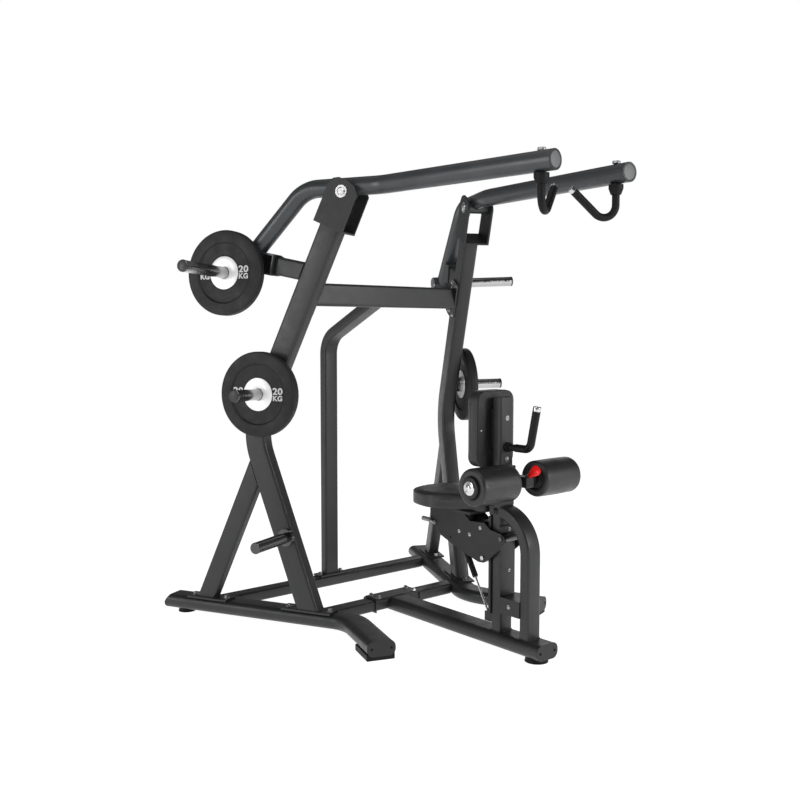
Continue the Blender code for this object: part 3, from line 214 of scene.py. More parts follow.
ARM_R, ARM_WALL = 0.0385, 0.0035
ARM_Z = 1.924                  # height of the overhead tubes' centre
PIVOT_S, PIVOT_N, PIVOT_Z = -0.077, 0.385, 1.898
ARM_TIP = (0.2129, -1.099)     # end of the arm in plan (x, y before Y0)
FORK_HALF = 0.061              # half the pivot bracket's width
FORK_T = 0.008

HORN_R = 0.025
PLATE_R, PLATE_T, PLATE_BORE, PLATE_DISH = 0.187, 0.042, 0.0262, 0.0065
PLATE_N = 0.4305               # inner face of a loaded plate
U_HORN_TILT = math.radians(2.4)
L_HORN_TILT = math.radians(1.0)

COLUMN_Y = -0.676              # front face of the seat column
ROLL_R, ROLL_IN, ROLL_OUT = 0.075, 0.0705, 0.2865
ROLL_Y, ROLL_Z = -0.757, 0.718


PARTS = bpy.data.collections.new("lat_pulldown_machine")
TOOLS = bpy.data.collections.new("cutters_and_guides")
bpy.context.scene.collection.children.link(PARTS)
bpy.context.scene.collection.children.link(TOOLS)

FRAME_PAINT, ARM_PAINT, CHROME, STEEL, RUBBER = "frame_paint", "arm_paint", "chrome", "zinc_steel", "black_rubber"
PLATE_RUBBER, VINYL, RED, CAP = "plate_rubber", "black_vinyl", "red_knob", "dark_cap"
SOFT = ("seat_pad", "chest_pad", "right_thigh_roller", "left_thigh_roller")
FINER_LOOK = {"pivot_bracket": "bracket_paint", "storage_horn": "dark_horn", "lower_horn": "horn_steel", "arm_horn": "horn_steel",
              "seat_carriage": "bracket_paint", "skid_cap": "bracket_paint", "centre_base_cap": "bracket_paint",
              "seat_release_lever": "satin_steel", "front_guide_roller": "dark_horn", "roller_bracket": "dark_cap"}


def dress(obj, name, look, body, angle=32.0):
    """A visible piece: mesh in world coordinates, with its finish, riding on its body."""
    baked(obj)
    obj.data.transform(obj.matrix_world)
    obj.matrix_world = Matrix.Identity(4)
    obj.name = name
    obj.data.name = name
    obj.data.materials.clear()
    obj.data.materials.append(LOOKS[look])
    obj.data.shade_smooth()
    obj.data.set_sharp_from_angle(angle=math.radians(angle))
    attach(obj, body)
    return obj


def sweep_up():
    """Remove cutters and guides once the piece that used them is made."""
    for helper in list(TOOLS.objects):
        bpy.data.objects.remove(helper, do_unlink=True)


def finish(obj, name, look, smooth=True):
    """The fine version of a CAD node, standing in its place."""
    if name in SOFT:
        bpy.data.objects.remove(obj, do_unlink=True)
        sweep_up()
        return None
    kind = name.replace("right_", "").replace("left_", "")
    dress(obj, name + "_fine", FINER_LOOK.get(kind, look), BODY_OF[name])
    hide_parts(name)
    sweep_up()
    return obj


def tool(obj, name):
    """Mark an object as a cutter or a joining shape that isn't a part itself."""
    obj.name = name
    for c in list(obj.users_collection):
        c.objects.unlink(obj)
    TOOLS.objects.link(obj)
    obj.hide_render = True
    obj.display_type = "WIRE"
    return obj


# ----------------------------------------------------------------------------
# Coordinates
# ----------------------------------------------------------------------------
def side_axes(side):
    """Forward and outward unit vectors of a side frame; side is -1 for the right, +1 for the left."""
    c, s = math.cos(SPLAY), math.sin(SPLAY)
    return Vector((-side * s, -c, 0.0)), Vector((side * c, -s, 0.0))


def at(side, s, n, z):
    fwd, out = side_axes(side)
    return fwd * s + out * n + Vector((0.0, Y0, z))


def side_matrix(side, n):
    """Local X forward, local Y up, local Z square to the side frame."""
    fwd, out = side_axes(side)
    third = fwd.cross(Vector((0, 0, 1)))
    m = Matrix((fwd, Vector((0, 0, 1)), third)).transposed().to_4x4()
    m.translation = out * n + Vector((0.0, Y0, 0.0))
    return m


def axis_matrix(origin, direction, up=Vector((0, 0, 1))):
    """Local Z along direction."""
    zed = Vector(direction).normalized()
    ex = Vector(up).cross(zed)
    if ex.length < 1e-6:
        ex = Vector((1, 0, 0)).cross(zed)
    ex.normalize()
    why = zed.cross(ex)
    m = Matrix((ex, why, zed)).transposed().to_4x4()
    m.translation = Vector(origin)
    return m


YZ = Matrix(((0, 0, 1, 0), (1, 0, 0, Y0), (0, 1, 0, 0), (0, 0, 0, 1)))   # local x -> Y, y -> Z, z -> X
XY = Matrix.Translation((0.0, Y0, 0.0))


# ----------------------------------------------------------------------------
# Shapes
# ----------------------------------------------------------------------------
def new_mesh_object(name, bm):
    mesh = bpy.data.meshes.new(name)
    bm.to_mesh(mesh)
    bm.free()
    obj = bpy.data.objects.new(name, mesh)
    PARTS.objects.link(obj)
    return obj


def box(lo, hi, bevel=0.0, matrix=None, segments=2):
    """A box between two corners, with rounded edges when bevel is given."""
    lo, hi = Vector(lo), Vector(hi)
    bm = bmesh.new()
    bmesh.ops.create_cube(bm, size=1.0, matrix=Matrix.Translation((lo + hi) / 2) @ Matrix.Diagonal((*(hi - lo), 1.0)))
    if bevel:
        bmesh.ops.bevel(bm, geom=bm.edges[:], offset=bevel, segments=segments, affect="EDGES", profile=0.5)
    obj = new_mesh_object("box", bm)
    if matrix is not None:
        obj.matrix_world = matrix
    return obj


def cylinder(a, b, radius, segments=24, radius2=None, chamfer=0.0):
    """A solid cylinder or cone from point a to point b."""
    segments = segments * 2 if segments > 16 else segments * 2
    a, b = Vector(a), Vector(b)
    bm = bmesh.new()
    bmesh.ops.create_cone(bm, cap_ends=True, segments=segments, radius1=radius,
                          radius2=radius if radius2 is None else radius2, depth=(b - a).length)
    if chamfer:
        rims = [e for e in bm.edges if len(e.link_faces) == 2 and any(len(f.verts) > 4 for f in e.link_faces)]
        bmesh.ops.bevel(bm, geom=rims, offset=chamfer, segments=1, affect="EDGES", profile=0.5)
    obj = new_mesh_object("cylinder", bm)
    obj.matrix_world = axis_matrix((a + b) / 2, b - a)
    return obj


PLATE_PLACES = []


def turned(profile, matrix, segments=32):
    """A turned solid: (radius, height) points from the top of the axis down to its foot, spun round local Z."""
    bm = bmesh.new()
    segments = max(48, segments * 3)
    verts = [bm.verts.new((r, 0.0, h)) for r, h in profile]
    for v, w in zip(verts, verts[1:]):
        bm.edges.new((v, w))
    obj = new_mesh_object("turned", bm)
    screw = obj.modifiers.new("turn", "SCREW")
    screw.angle = math.tau
    screw.steps = screw.render_steps = segments
    screw.use_merge_vertices = True
    screw.merge_threshold = 0.00005
    screw.use_smooth_shade = True
    obj.matrix_world = matrix
    return obj


def ring_profile(outer, inner, h0, h1, chamfer=0.0015):
    """Closed section of a turned ring."""
    c = chamfer
    return [(inner, h1), (outer - c, h1), (outer, h1 - c), (outer, h0 + c), (outer - c, h0), (inner, h0), (inner, h1)]


def rounded_outline(w, h, r, steps=6):
    """Corner-rounded rectangle, w along x and h along y, as a list of points."""
    points = []
    for cx, cy, start in ((w / 2 - r, h / 2 - r, 0), (-w / 2 + r, h / 2 - r, 90),
                          (-w / 2 + r, -h / 2 + r, 180), (w / 2 - r, -h / 2 + r, 270)):
        for i in range(steps + 1):
            a = math.radians(start + 90 * i / steps)
            points.append((cx + r * math.cos(a), cy + r * math.sin(a)))
    return points


def poly_curve(name, points, closed, dims="2D"):
    data = bpy.data.curves.new(name, "CURVE")
    data.dimensions = dims
    data.resolution_u = 1
    spline = data.splines.new("POLY")
    spline.points.add(len(points) - 1)
    for p, q in zip(spline.points, points):
        p.co = (*q, 1.0) if len(q) == 3 else (q[0], q[1], 0.0, 1.0)
    spline.use_cyclic_u = closed
    obj = bpy.data.objects.new(name, data)
    PARTS.objects.link(obj)
    return obj


def fillet(points, radii, step=math.radians(3.0)):
    """A polyline whose inner corners are replaced by arcs of the given radii."""
    points = [Vector(p) for p in points]
    out = [points[0]]
    for before, corner, after, radius in zip(points, points[1:], points[2:], radii):
        d0, d1 = (corner - before).normalized(), (after - corner).normalized()
        turn = d0.angle(d1)
        reach = radius * math.tan(turn / 2)
        start = corner - d0 * reach
        towards = (d1 - d0 * d0.dot(d1)).normalized()
        centre = start + towards * radius
        count = max(2, round(turn / step))
        for i in range(count + 1):
            a = turn * i / count
            out.append(centre - towards * radius * math.cos(a) + d0 * radius * math.sin(a))
    out.append(points[-1])
    return out


def meshed(obj):
    """The evaluated curve as a welded mesh object, in the curve's place."""
    graph = bpy.context.evaluated_depsgraph_get()
    graph.update()
    mesh = bpy.data.meshes.new_from_object(obj.evaluated_get(graph))
    bm = bmesh.new()
    bm.from_mesh(mesh)
    bmesh.ops.remove_doubles(bm, verts=bm.verts[:], dist=0.00002)
    bmesh.ops.recalc_face_normals(bm, faces=bm.faces[:])
    bm.to_mesh(mesh)
    bm.free()
    made = bpy.data.objects.new(obj.name + "_mesh", mesh)
    made.matrix_world = obj.matrix_world.copy()
    PARTS.objects.link(made)
    old = obj.data
    bpy.data.objects.remove(obj, do_unlink=True)
    bpy.data.curves.remove(old)
    return made


def swept(points, width, height, radius, matrix, wall=WALL, steps=6, capped=False):
    """A rectangular tube swept along a flat path: width lies in the path's plane, height square to it."""
    section = poly_curve("section", rounded_outline(width, height, radius, steps), True)
    section.hide_render = True
    path = poly_curve("path", [(p[0], p[1]) for p in points], False)
    path.data.bevel_mode = "OBJECT"
    path.data.bevel_object = section
    path.data.use_fill_caps = capped
    path.matrix_world = matrix
    bpy.context.view_layer.update()
    tube = meshed(path)
    bpy.data.objects.remove(section, do_unlink=True)
    if not capped:
        outward(tube, [Vector((p[0], p[1], 0.0)) for p in points])
        shell = tube.modifiers.new("wall", "SOLIDIFY")
        shell.thickness = wall
        shell.offset = -1.0
        shell.use_even_offset = True
    return tube


def outward(tube, path):
    """Turn an open tube's faces away from its centre line."""
    face = tube.data.polygons[0]
    best, away = 1e9, None
    for a, b in zip(path, path[1:]):
        for t in range(9):
            d = face.center - (a + (b - a) * t / 8)
            if d.length < best:
                best, away = d.length, d
    if away.dot(face.normal) < 0:
        tube.data.flip_normals()


def round_tube(points, radius, wall=None, sides=5, matrix=None):
    """A round tube or bar along a path: hollow with open ends when a wall is given, else solid."""
    path = poly_curve("path", [tuple(p) for p in points], False, "3D")
    path.data.bevel_depth = radius
    path.data.bevel_resolution = max(8, sides * 3)
    path.data.use_fill_caps = wall is None
    if matrix is not None:
        path.matrix_world = matrix
    bpy.context.view_layer.update()
    tube = meshed(path)
    if wall is not None:
        outward(tube, [Vector(p) for p in points])
        shell = tube.modifiers.new("wall", "SOLIDIFY")
        shell.thickness = wall
        shell.offset = -1.0
        shell.use_even_offset = True
    return tube


def outline_plate(points, thickness, matrix, bevel=0.0):
    """A flat plate cut to an outline in the matrix's local XY plane, centred on it."""
    curve = poly_curve("plate", points, True)
    curve.data.fill_mode = "BOTH"
    curve.data.extrude = thickness / 2
    curve.matrix_world = matrix
    bpy.context.view_layer.update()
    plate = meshed(curve)
    if bevel:
        edge = plate.modifiers.new("edge", "BEVEL")
        edge.width = bevel
        edge.segments = 1
        edge.limit_method = "ANGLE"
        edge.angle_limit = math.radians(50)
    return plate


def cut(obj, other, label="cut"):
    m = obj.modifiers.new(label, "BOOLEAN")
    m.operation = "DIFFERENCE"
    m.object = tool(other, f"{label}_{len(TOOLS.objects):03d}")
    return obj


def join(obj, other, label="join"):
    m = obj.modifiers.new(label, "BOOLEAN")
    m.operation = "UNION"
    m.object = tool(other, f"{label}_{len(TOOLS.objects):03d}")
    return obj


def baked(obj):
    """Apply the modifiers, so that the piece can itself be used in a Boolean."""
    graph = bpy.context.evaluated_depsgraph_get()
    graph.update()
    mesh = bpy.data.meshes.new_from_object(obj.evaluated_get(graph))
    obj.modifiers.clear()
    obj.data = mesh
    return obj


def origin_to(obj, point):
    """Move the object's origin to a point without moving its shape."""
    point = Vector(point)
    bpy.context.view_layer.update()
    world = obj.matrix_world.copy()
    obj.data.transform(world)
    obj.matrix_world = Matrix.Identity(4)
    obj.data.transform(Matrix.Translation(-point))
    obj.matrix_world = Matrix.Translation(point)
    return obj


SIDES = ((-1, "right"), (1, "left"))

# ----------------------------------------------------------------------------
# Base: skids, feet, cross tubes and the centre tube
# ----------------------------------------------------------------------------
BASE_ZC = (BASE_Z0 + BASE_Z1) / 2
SKID_REAR_S = -1.035
END_CAP_T = 0.004

for side, word in SIDES:
    fwd, out = side_axes(side)
    rear = fwd * SKID_REAR_S + out * SKID_N
    bend = fwd * -0.0751 + out * SKID_N
    nose = Vector((side * 0.4773, -0.4471, 0.0))
    # the nose turns outwards; its cap's face lies on the nose point
    d = (nose - bend).normalized()
    path = fillet([rear, bend, nose - d * (END_CAP_T + GAP)], [0.20])
    skid = swept(path, BASE_W, BASE_H, BASE_R, Matrix.Translation((0, Y0, BASE_ZC)), steps=9)
    # the rear end is cut on a slant
    slant = box((-0.2, -0.2, 0.0), (0.2, 0.2, 0.3))
    slant.matrix_world = Matrix.Translation(at(side, SKID_REAR_S + 0.020, SKID_N, BASE_Z1)) @ \
        axis_matrix((0, 0, 0), -fwd + Vector((0, 0, 0.62)))
    cut(skid, slant, "slant")
    finish(skid, word + "_skid", FRAME_PAINT)

    cap = outline_plate(rounded_outline(BASE_W + 0.002, BASE_H + 0.002, BASE_R + 0.001, 9), END_CAP_T,
                        axis_matrix(nose - d * END_CAP_T / 2 + Vector((0, Y0, BASE_ZC)), d))
    for offset in (-0.042, 0.042):
        across = Vector((-d.y, d.x, 0)) * offset
        c = nose + across + Vector((0, Y0, BASE_ZC))
        cut(cap, cylinder(c - d * 0.02, c + d * 0.02, 0.005, 12), "screw_hole")
    finish(cap, word + "_skid_cap", FRAME_PAINT)

    heel = nose - d * 0.062
    # the block hugs the rounded underside of the tube
    foot = box((-0.060, -0.055, 0.0), (0.060, 0.098, FOOT_H + 0.009), bevel=0.0020, segments=1)
    foot.matrix_world = Matrix.Translation((heel.x, heel.y + Y0, 0)) @ Matrix.Rotation(math.atan2(d.x, -d.y), 4, "Z")
    seat = swept([rear, bend, nose + d * 0.05], BASE_W + 2 * GAP, BASE_H + 2 * GAP, BASE_R + GAP, Matrix.Translation((0, Y0, BASE_ZC)), steps=9, capped=True)
    cut(foot, seat, "tube_seat")
    finish(foot, word + "_front_foot", RUBBER)

    c = at(side, SKID_REAR_S + 0.085, SKID_N, 0)
    finish(cylinder(c, c + Vector((0, 0, FOOT_H)), 0.040, 24, radius2=0.036), word + "_rear_foot", RUBBER)

# Cross tube at the back, between the skids
REAR_Y, FRONT_Y = 0.557, 0.062
CROSS_ZC = 0.052


def trimmed_by_skids(obj, n_face):
    """Cut a lateral tube back to the inner sides of both skids."""
    for side, _ in SIDES:
        blade = box((-2.0, -0.3, 0.0), (2.0, 0.3, 1.5))
        fwd, out = side_axes(side)
        blade.matrix_world = Matrix((fwd, Vector((0, 0, 1)), out)).transposed().to_4x4()
        if blade.matrix_world.determinant() < 0:
            blade.matrix_world = Matrix((-fwd, Vector((0, 0, 1)), out)).transposed().to_4x4()
        blade.matrix_world.translation = out * n_face + Vector((0, Y0, 0.1))
        cut(obj, blade, "trim")
    return obj


rear_cross = swept([(-0.95, REAR_Y), (0.95, REAR_Y)], CROSS_A, CROSS_B, TUBE_R, Matrix.Translation((0, Y0, CROSS_ZC)))
trimmed_by_skids(rear_cross, SKID_N - BASE_W / 2 - GAP)
finish(rear_cross, "rear_cross_tube", FRAME_PAINT)

T_HALF = 0.131
for side, word in SIDES:
    stub = swept([(side * (T_HALF + GAP), FRONT_Y), (side * 0.9, FRONT_Y)], CROSS_A, CROSS_B, TUBE_R,
                 Matrix.Translation((0, Y0, CROSS_ZC)))
    trimmed_by_skids(stub, SKID_N - BASE_W / 2 - GAP)
    plate = box((-0.003, -0.046, -0.029), (0.003, 0.046, 0.029))
    plate.matrix_world = Matrix.Translation((side * (T_HALF + GAP + 0.003), FRONT_Y + Y0, CROSS_ZC))
    join(baked(stub), plate, "flange")
    finish(stub, word + "_cross_stub", FRAME_PAINT)

BASE_FRONT_Y = -0.9026
centre = swept([(BASE_FRONT_Y + END_CAP_T + GAP, 0.0), (0.085, 0.0)], BASE_W, BASE_H, BASE_R,
               Matrix.Translation((0, Y0, BASE_ZC)) @ Matrix.Rotation(math.radians(90), 4, "Z"), steps=9, capped=True)
tee = swept([(-T_HALF, FRONT_Y), (T_HALF, FRONT_Y)], CROSS_A, CROSS_B, TUBE_R, Matrix.Translation((0, Y0, CROSS_ZC)), capped=True)
join(centre, tee, "tee")
tee_pad = box((-T_HALF, FRONT_Y + Y0 - 0.044, BASE_Z1 - 0.008), (T_HALF, FRONT_Y + Y0 + 0.044, BASE_Z1 + 0.004), bevel=0.002, segments=1)
join(centre, tee_pad, "saddle")
hollow = swept([(BASE_FRONT_Y - 0.05, 0.0), (0.078, 0.0)], BASE_W - 2 * WALL, BASE_H - 2 * WALL, BASE_R - WALL,
               Matrix.Translation((0, Y0, BASE_ZC)) @ Matrix.Rotation(math.radians(90), 4, "Z"), steps=9, capped=True)
cut(centre, hollow, "hollow")
hollow = swept([(-T_HALF - 0.05, FRONT_Y), (T_HALF + 0.05, FRONT_Y)], CROSS_A - 2 * WALL, CROSS_B - 2 * WALL, TUBE_R - WALL,
               Matrix.Translation((0, Y0, CROSS_ZC)), capped=True)
cut(centre, hollow, "hollow")
finish(centre, "centre_base_tube", FRAME_PAINT)

cap = outline_plate(rounded_outline(BASE_W + 0.002, BASE_H + 0.002, BASE_R + 0.001, 9), END_CAP_T,
                    axis_matrix((0, BASE_FRONT_Y + END_CAP_T / 2 + Y0, BASE_ZC), (0, -1, 0)))
for x in (-0.042, 0.042):
    cut(cap, cylinder((x, BASE_FRONT_Y + Y0 - 0.02, BASE_ZC), (x, BASE_FRONT_Y + Y0 + 0.02, BASE_ZC), 0.005, 12), "screw_hole")
finish(cap, "centre_base_cap", FRAME_PAINT)
c = Vector((0, BASE_FRONT_Y + 0.058 + Y0, 0))
finish(cylinder(c, c + Vector((0, 0, FOOT_H)), 0.048, 28, radius2=0.044), "centre_foot", RUBBER)

# ----------------------------------------------------------------------------
# Side frames: bent main post, rear leg, pivot bracket, stop and horns
# ----------------------------------------------------------------------------
LOW_SLOPE, HIGH_SLOPE = -0.360, 0.4587        # ds/dz below and above the bend
BEND_S, BEND_Z = -0.5589, 0.8757


def post_s(z):
    return BEND_S + (z - BEND_Z) * (HIGH_SLOPE if z > BEND_Z else LOW_SLOPE)


HIGH_DIR = Vector((HIGH_SLOPE, 1.0)).normalized()      # up the post, (s, z)
HIGH_ACROSS = Vector((HIGH_DIR.y, -HIGH_DIR.x))        # forward, square to it
FORK_MID = Vector((-0.1432, 1.7545))                   # middle of the bracket's underside
FORK_W, FORK_L = 0.147, 0.200


def fork_point(across, along):
    return FORK_MID + HIGH_ACROSS * across + HIGH_DIR * along


def in_fork(v):
    """Across and along coordinates of an (s, z) point in the bracket."""
    d = Vector(v) - FORK_MID
    return d.dot(HIGH_ACROSS), d.dot(HIGH_DIR)


FOOT_PLATE_Z = BASE_Z1 + GAP

for side, word in SIDES:
    # main post, from its foot plate up to the pivot bracket
    foot_z = FOOT_PLATE_Z + 0.004
    top = FORK_MID - HIGH_DIR * GAP
    top_line = Vector((post_s(top.y), top.y))
    path = fillet([(post_s(foot_z) + 0.03 * -LOW_SLOPE, foot_z - 0.03), (BEND_S, BEND_Z), (top_line.x + HIGH_DIR.x * 0.05, top_line.y + HIGH_DIR.y * 0.05)], [0.30])
    post = swept(path, POST_D, POST_B, POST_R, side_matrix(side, POST_N))
    floor = box((-2, -2, FOOT_PLATE_Z - 1.0), (2, 2, FOOT_PLATE_Z + 0.004))
    cut(post, floor, "foot_trim")
    lid = box((-0.3, 0.0, -0.3), (0.3, 0.6, 0.3))
    m = side_matrix(side, POST_N)
    lid.matrix_world = m @ Matrix.Translation((top.x, top.y, 0)) @ Matrix.Rotation(-math.atan2(HIGH_DIR.x, HIGH_DIR.y), 4, "Z")
    cut(post, lid, "top_trim")
    s_mid = post_s(FOOT_PLATE_Z)
    plate = box((s_mid - 0.131, FOOT_PLATE_Z, -0.042), (s_mid + 0.113, FOOT_PLATE_Z + FLANGE_T, 0.042), matrix=side_matrix(side, POST_N - 0.002))
    join(post, plate, "foot_plate")
    finish(post, word + "_main_post", FRAME_PAINT)

    # rear leg, trimmed against the back of the post
    leg_slope = 0.4457
    top_z = 0.74
    path = [(-0.8124 - leg_slope * 0.03, 0.09 - 0.03), (-0.8124 + leg_slope * (top_z - 0.09), top_z)]
    leg = swept(path, LEG_D, LEG_B, LEG_R, side_matrix(side, POST_N))
    cut(leg, box((-2, -2, FOOT_PLATE_Z - 1.0), (2, 2, FOOT_PLATE_Z + 0.004)), "foot_trim")
    low = Vector((LOW_SLOPE, 1.0)).normalized()
    blade = box((-POST_D / 2 - GAP, -0.5, -0.2), (0.5, 0.6, 0.2))
    blade.matrix_world = side_matrix(side, POST_N) @ Matrix.Translation((post_s(0.5), 0.5, 0)) @ Matrix.Rotation(-math.atan2(low.x, low.y), 4, "Z")
    cut(leg, blade, "post_trim")
    # the bend starts above, so the leg also clears the curved back of the post
    s_leg = -0.8124
    plate = box((s_leg - 0.094, FOOT_PLATE_Z, -0.042), (s_leg + 0.116, FOOT_PLATE_Z + FLANGE_T, 0.042), matrix=side_matrix(side, POST_N - 0.002))
    join(leg, plate, "foot_plate")
    finish(leg, word + "_rear_leg", FRAME_PAINT)

    # pivot bracket: a U of plate, open to the front, the back and the top
    outline = [fork_point(a, l) for a, l in
               [(-FORK_W / 2, 0.0), (FORK_W / 2, 0.0), (FORK_W / 2 - 0.002, 0.172), (FORK_W / 2 - 0.024, 0.198),
                (0.004, 0.209), (-0.034, 0.208), (-0.058, 0.195), (-FORK_W / 2 + 0.002, 0.168)]]
    fork = outline_plate([(p.x, p.y) for p in outline], 2 * FORK_HALF, side_matrix(side, PIVOT_N))
    channel = box((-0.2, FORK_T, -FORK_HALF + FORK_T), (0.2, 0.4, FORK_HALF - FORK_T))
    channel.matrix_world = side_matrix(side, PIVOT_N) @ Matrix.Translation((FORK_MID.x, FORK_MID.y, 0)) @ \
        Matrix.Rotation(-math.atan2(HIGH_DIR.x, HIGH_DIR.y), 4, "Z")
    cut(fork, channel, "channel")
    cut(fork, cylinder(at(side, PIVOT_S, PIVOT_N - 0.1, PIVOT_Z), at(side, PIVOT_S, PIVOT_N + 0.1, PIVOT_Z), 0.0125, 20), "pin_hole")
    finish(fork, word + "_pivot_bracket", FRAME_PAINT)

    # pivot pin with a washer face at each end
    half = FORK_HALF + GAP
    m = axis_matrix(at(side, PIVOT_S, PIVOT_N, PIVOT_Z), side_axes(side)[1])
    profile = [(0.0, half + 0.010), (0.012, half + 0.010), (0.0165, half + 0.007), (0.0165, half + 0.003), (0.026, half + 0.003), (0.026, half),
               (0.012, half), (0.012, -half), (0.026, -half), (0.026, -half - 0.003), (0.0165, -half - 0.003),
               (0.0165, -half - 0.007), (0.012, -half - 0.010), (0.0, -half - 0.010)]
    finish(turned(profile, m, 20), word + "_pivot_pin", STEEL)

    # stop: a short tube behind the post that the loaded arm rests against
    back = Vector((-0.9787, 0.2056))
    root = Vector((-0.300, 1.5779))
    end = root + back * 0.130
    stop = swept([root - back * 0.03, end], 0.080, 0.050, TUBE_R, side_matrix(side, PIVOT_N - 0.008), capped=True)
    blade = box((-POST_D / 2 - GAP, -0.6, -0.2), (0.5, 0.6, 0.2))
    blade.matrix_world = side_matrix(side, POST_N) @ Matrix.Translation((post_s(1.5), 1.5, 0)) @ \
        Matrix.Rotation(-math.atan2(HIGH_DIR.x, HIGH_DIR.y), 4, "Z")
    cut(stop, blade, "post_trim")
    finish(stop, word + "_arm_stop", FRAME_PAINT)

    # lower weight horn on the post, with its collar against the post's outer face
    def horn(s, n0, z0, tip_n, tilt, collar_r, collar_t, radius):
        out = side_axes(side)[1]
        axis = (out * math.cos(tilt) + Vector((0, 0, math.sin(tilt)))).normalized()
        start = at(side, s, n0, z0)
        length = (tip_n - n0) / math.cos(tilt)
        profile = [(0.0, length), (radius - 0.002, length), (radius, length - 0.002), (radius, collar_t),
                   (collar_r, collar_t), (collar_r, 0.0), (0.0, 0.0)]
        return turned(profile, axis_matrix(start, axis), 24), axis, start, length

    face = POST_N + POST_B / 2 + 0.0022
    z0 = 1.0467 - (0.6524 - face) * math.tan(L_HORN_TILT)
    obj, axis, start, length = horn(-0.4782, face, z0, 0.6524, L_HORN_TILT, 0.038, 0.024, HORN_R)
    finish(obj, word + "_lower_horn", CHROME)

    # spare-plate horn on the front leg
    obj, _, _, _ = horn(-0.372, POST_N + POST_B / 2 + 0.0014, 0.4106, 0.6712, math.radians(0.9), 0.038, 0.020, 0.0245)
    finish(obj, word + "_storage_horn", FRAME_PAINT)

    # plate on the lower horn
    def plate_on(axis, s, n0, z0, tilt, name):
        inner = at(side, s, n0, z0)
        t = PLATE_T
        k = PLATE_DISH
        half = [(PLATE_BORE, t - k), (0.0735, t - k), (0.0742, t - k + 0.0008), (0.0755, t - k + 0.0012), (0.0768, t - k + 0.0008), (0.0775, t - k),
                (0.1275, t - k), (0.1300, t - k + 0.0006), (0.1318, t - k + 0.0022), (0.1338, t - 0.0018), (0.1352, t - 0.0005), (0.1375, t),
                (PLATE_R - 0.0075, t), (PLATE_R - 0.0038, t - 0.0010), (PLATE_R - 0.0012, t - 0.0034), (PLATE_R, t - 0.0072)]
        profile = half + [(x, t - h) for x, h in reversed(half)] + [half[0]]
        PLATE_PLACES.append((name, inner, axis, side))
        return finish(turned(profile, axis_matrix(inner, axis), 28), name, PLATE_RUBBER)

    plate_on(axis, -0.4782, PLATE_N, z0 + (PLATE_N - face) * math.tan(L_HORN_TILT), L_HORN_TILT, word + "_lower_plate")

    # ------------------------------------------------------------------
    # lever arm: one bent round tube with a pivot hub and a rest bracket
    # ------------------------------------------------------------------
    tip = Vector((side * ARM_TIP[0], ARM_TIP[1] + Y0, ARM_Z))
    bend_1 = at(side, -0.2806, PIVOT_N, ARM_Z)
    bend_2 = at(side, 0.0800, PIVOT_N, ARM_Z)
    down = Vector((-0.697, -0.717))
    tail = at(side, -0.2806 + down.x * 0.475, PIVOT_N, ARM_Z + down.y * 0.475)
    path = fillet([tail, bend_1, bend_2, tip], [0.155, 0.20])
    arm = round_tube(path, ARM_R, sides=4)
    arm.name = "arm_solid"
    hub = cylinder(at(side, PIVOT_S, PIVOT_N - FORK_HALF + FORK_T + 0.002, PIVOT_Z),
                   at(side, PIVOT_S, PIVOT_N + FORK_HALF - FORK_T - 0.002, PIVOT_Z), 0.027, 24)
    join(arm, hub, "hub")
    # rest bracket: an open-sided box under the tail that meets the stop
    face_c = end + back * 0.0009
    block = box((0.0, -0.046, -0.036), (0.075, 0.046, 0.036))
    place = side_matrix(side, PIVOT_N) @ Matrix.Translation((face_c.x, face_c.y, 0)) @ Matrix.Rotation(math.atan2(back.y, back.x), 4, "Z")
    block.matrix_world = place
    join(arm, block, "rest")
    pocket = box((0.006, -0.040, -0.030), (0.069, 0.040, 0.060)) if side < 0 else box((0.006, -0.040, -0.060), (0.069, 0.040, 0.030))
    pocket.matrix_world = place
    cut(arm, pocket, "pocket")
    inner = round_tube(fillet([tail + (tail - bend_1).normalized() * 0.05, bend_1, bend_2, tip + (tip - bend_2).normalized() * 0.05], [0.155, 0.20]),
                       ARM_R - ARM_WALL, sides=3)
    cut(arm, inner, "hollow")
    cut(arm, cylinder(at(side, PIVOT_S, PIVOT_N - 0.1, PIVOT_Z), at(side, PIVOT_S, PIVOT_N + 0.1, PIVOT_Z), 0.0125, 20), "pin_hole")
    horn_s, horn_tip_n = -0.6439, 0.7706
    horn_n0 = PIVOT_N - ARM_R - 0.020
    horn_z0 = 1.5869 - (horn_tip_n - horn_n0) * math.tan(U_HORN_TILT)
    # the horn passes through the tail of the arm
    boss_a = at(side, horn_s, horn_n0 + 0.0005, horn_z0)
    obj, axis, start, length = horn(horn_s, horn_n0, horn_z0, horn_tip_n, U_HORN_TILT, 0.030, 0.005, HORN_R)
    boss = cylinder(start + axis * 0.0053, start + axis * 0.096, 0.034, 24)
    join(arm, boss, "boss")
    cut(arm, cylinder(start - axis * 0.02, start + axis * 0.14, HORN_R + GAP, 24), "horn_hole")
    stem_top = Vector((side * 0.2144, -1.0358 + Y0, ARM_Z))
    cut(arm, cylinder(stem_top - Vector((0, 0, 0.08)), stem_top + Vector((0, 0, 0.08)), 0.0105, 16), "swivel_hole")
    finish(arm, word + "_arm", ARM_PAINT)
    origin = at(side, PIVOT_S, PIVOT_N, PIVOT_Z)
    finish(obj, word + "_arm_horn", CHROME)
    plate_on(axis, horn_s, PLATE_N, horn_z0 + (PLATE_N - horn_n0) * math.tan(U_HORN_TILT), U_HORN_TILT, word + "_upper_plate")

    d = (tip - bend_2).normalized()
    finish(cylinder(tip - d * 0.010, tip - d * 0.001, 0.0322, 24), word + "_arm_plug", CAP)

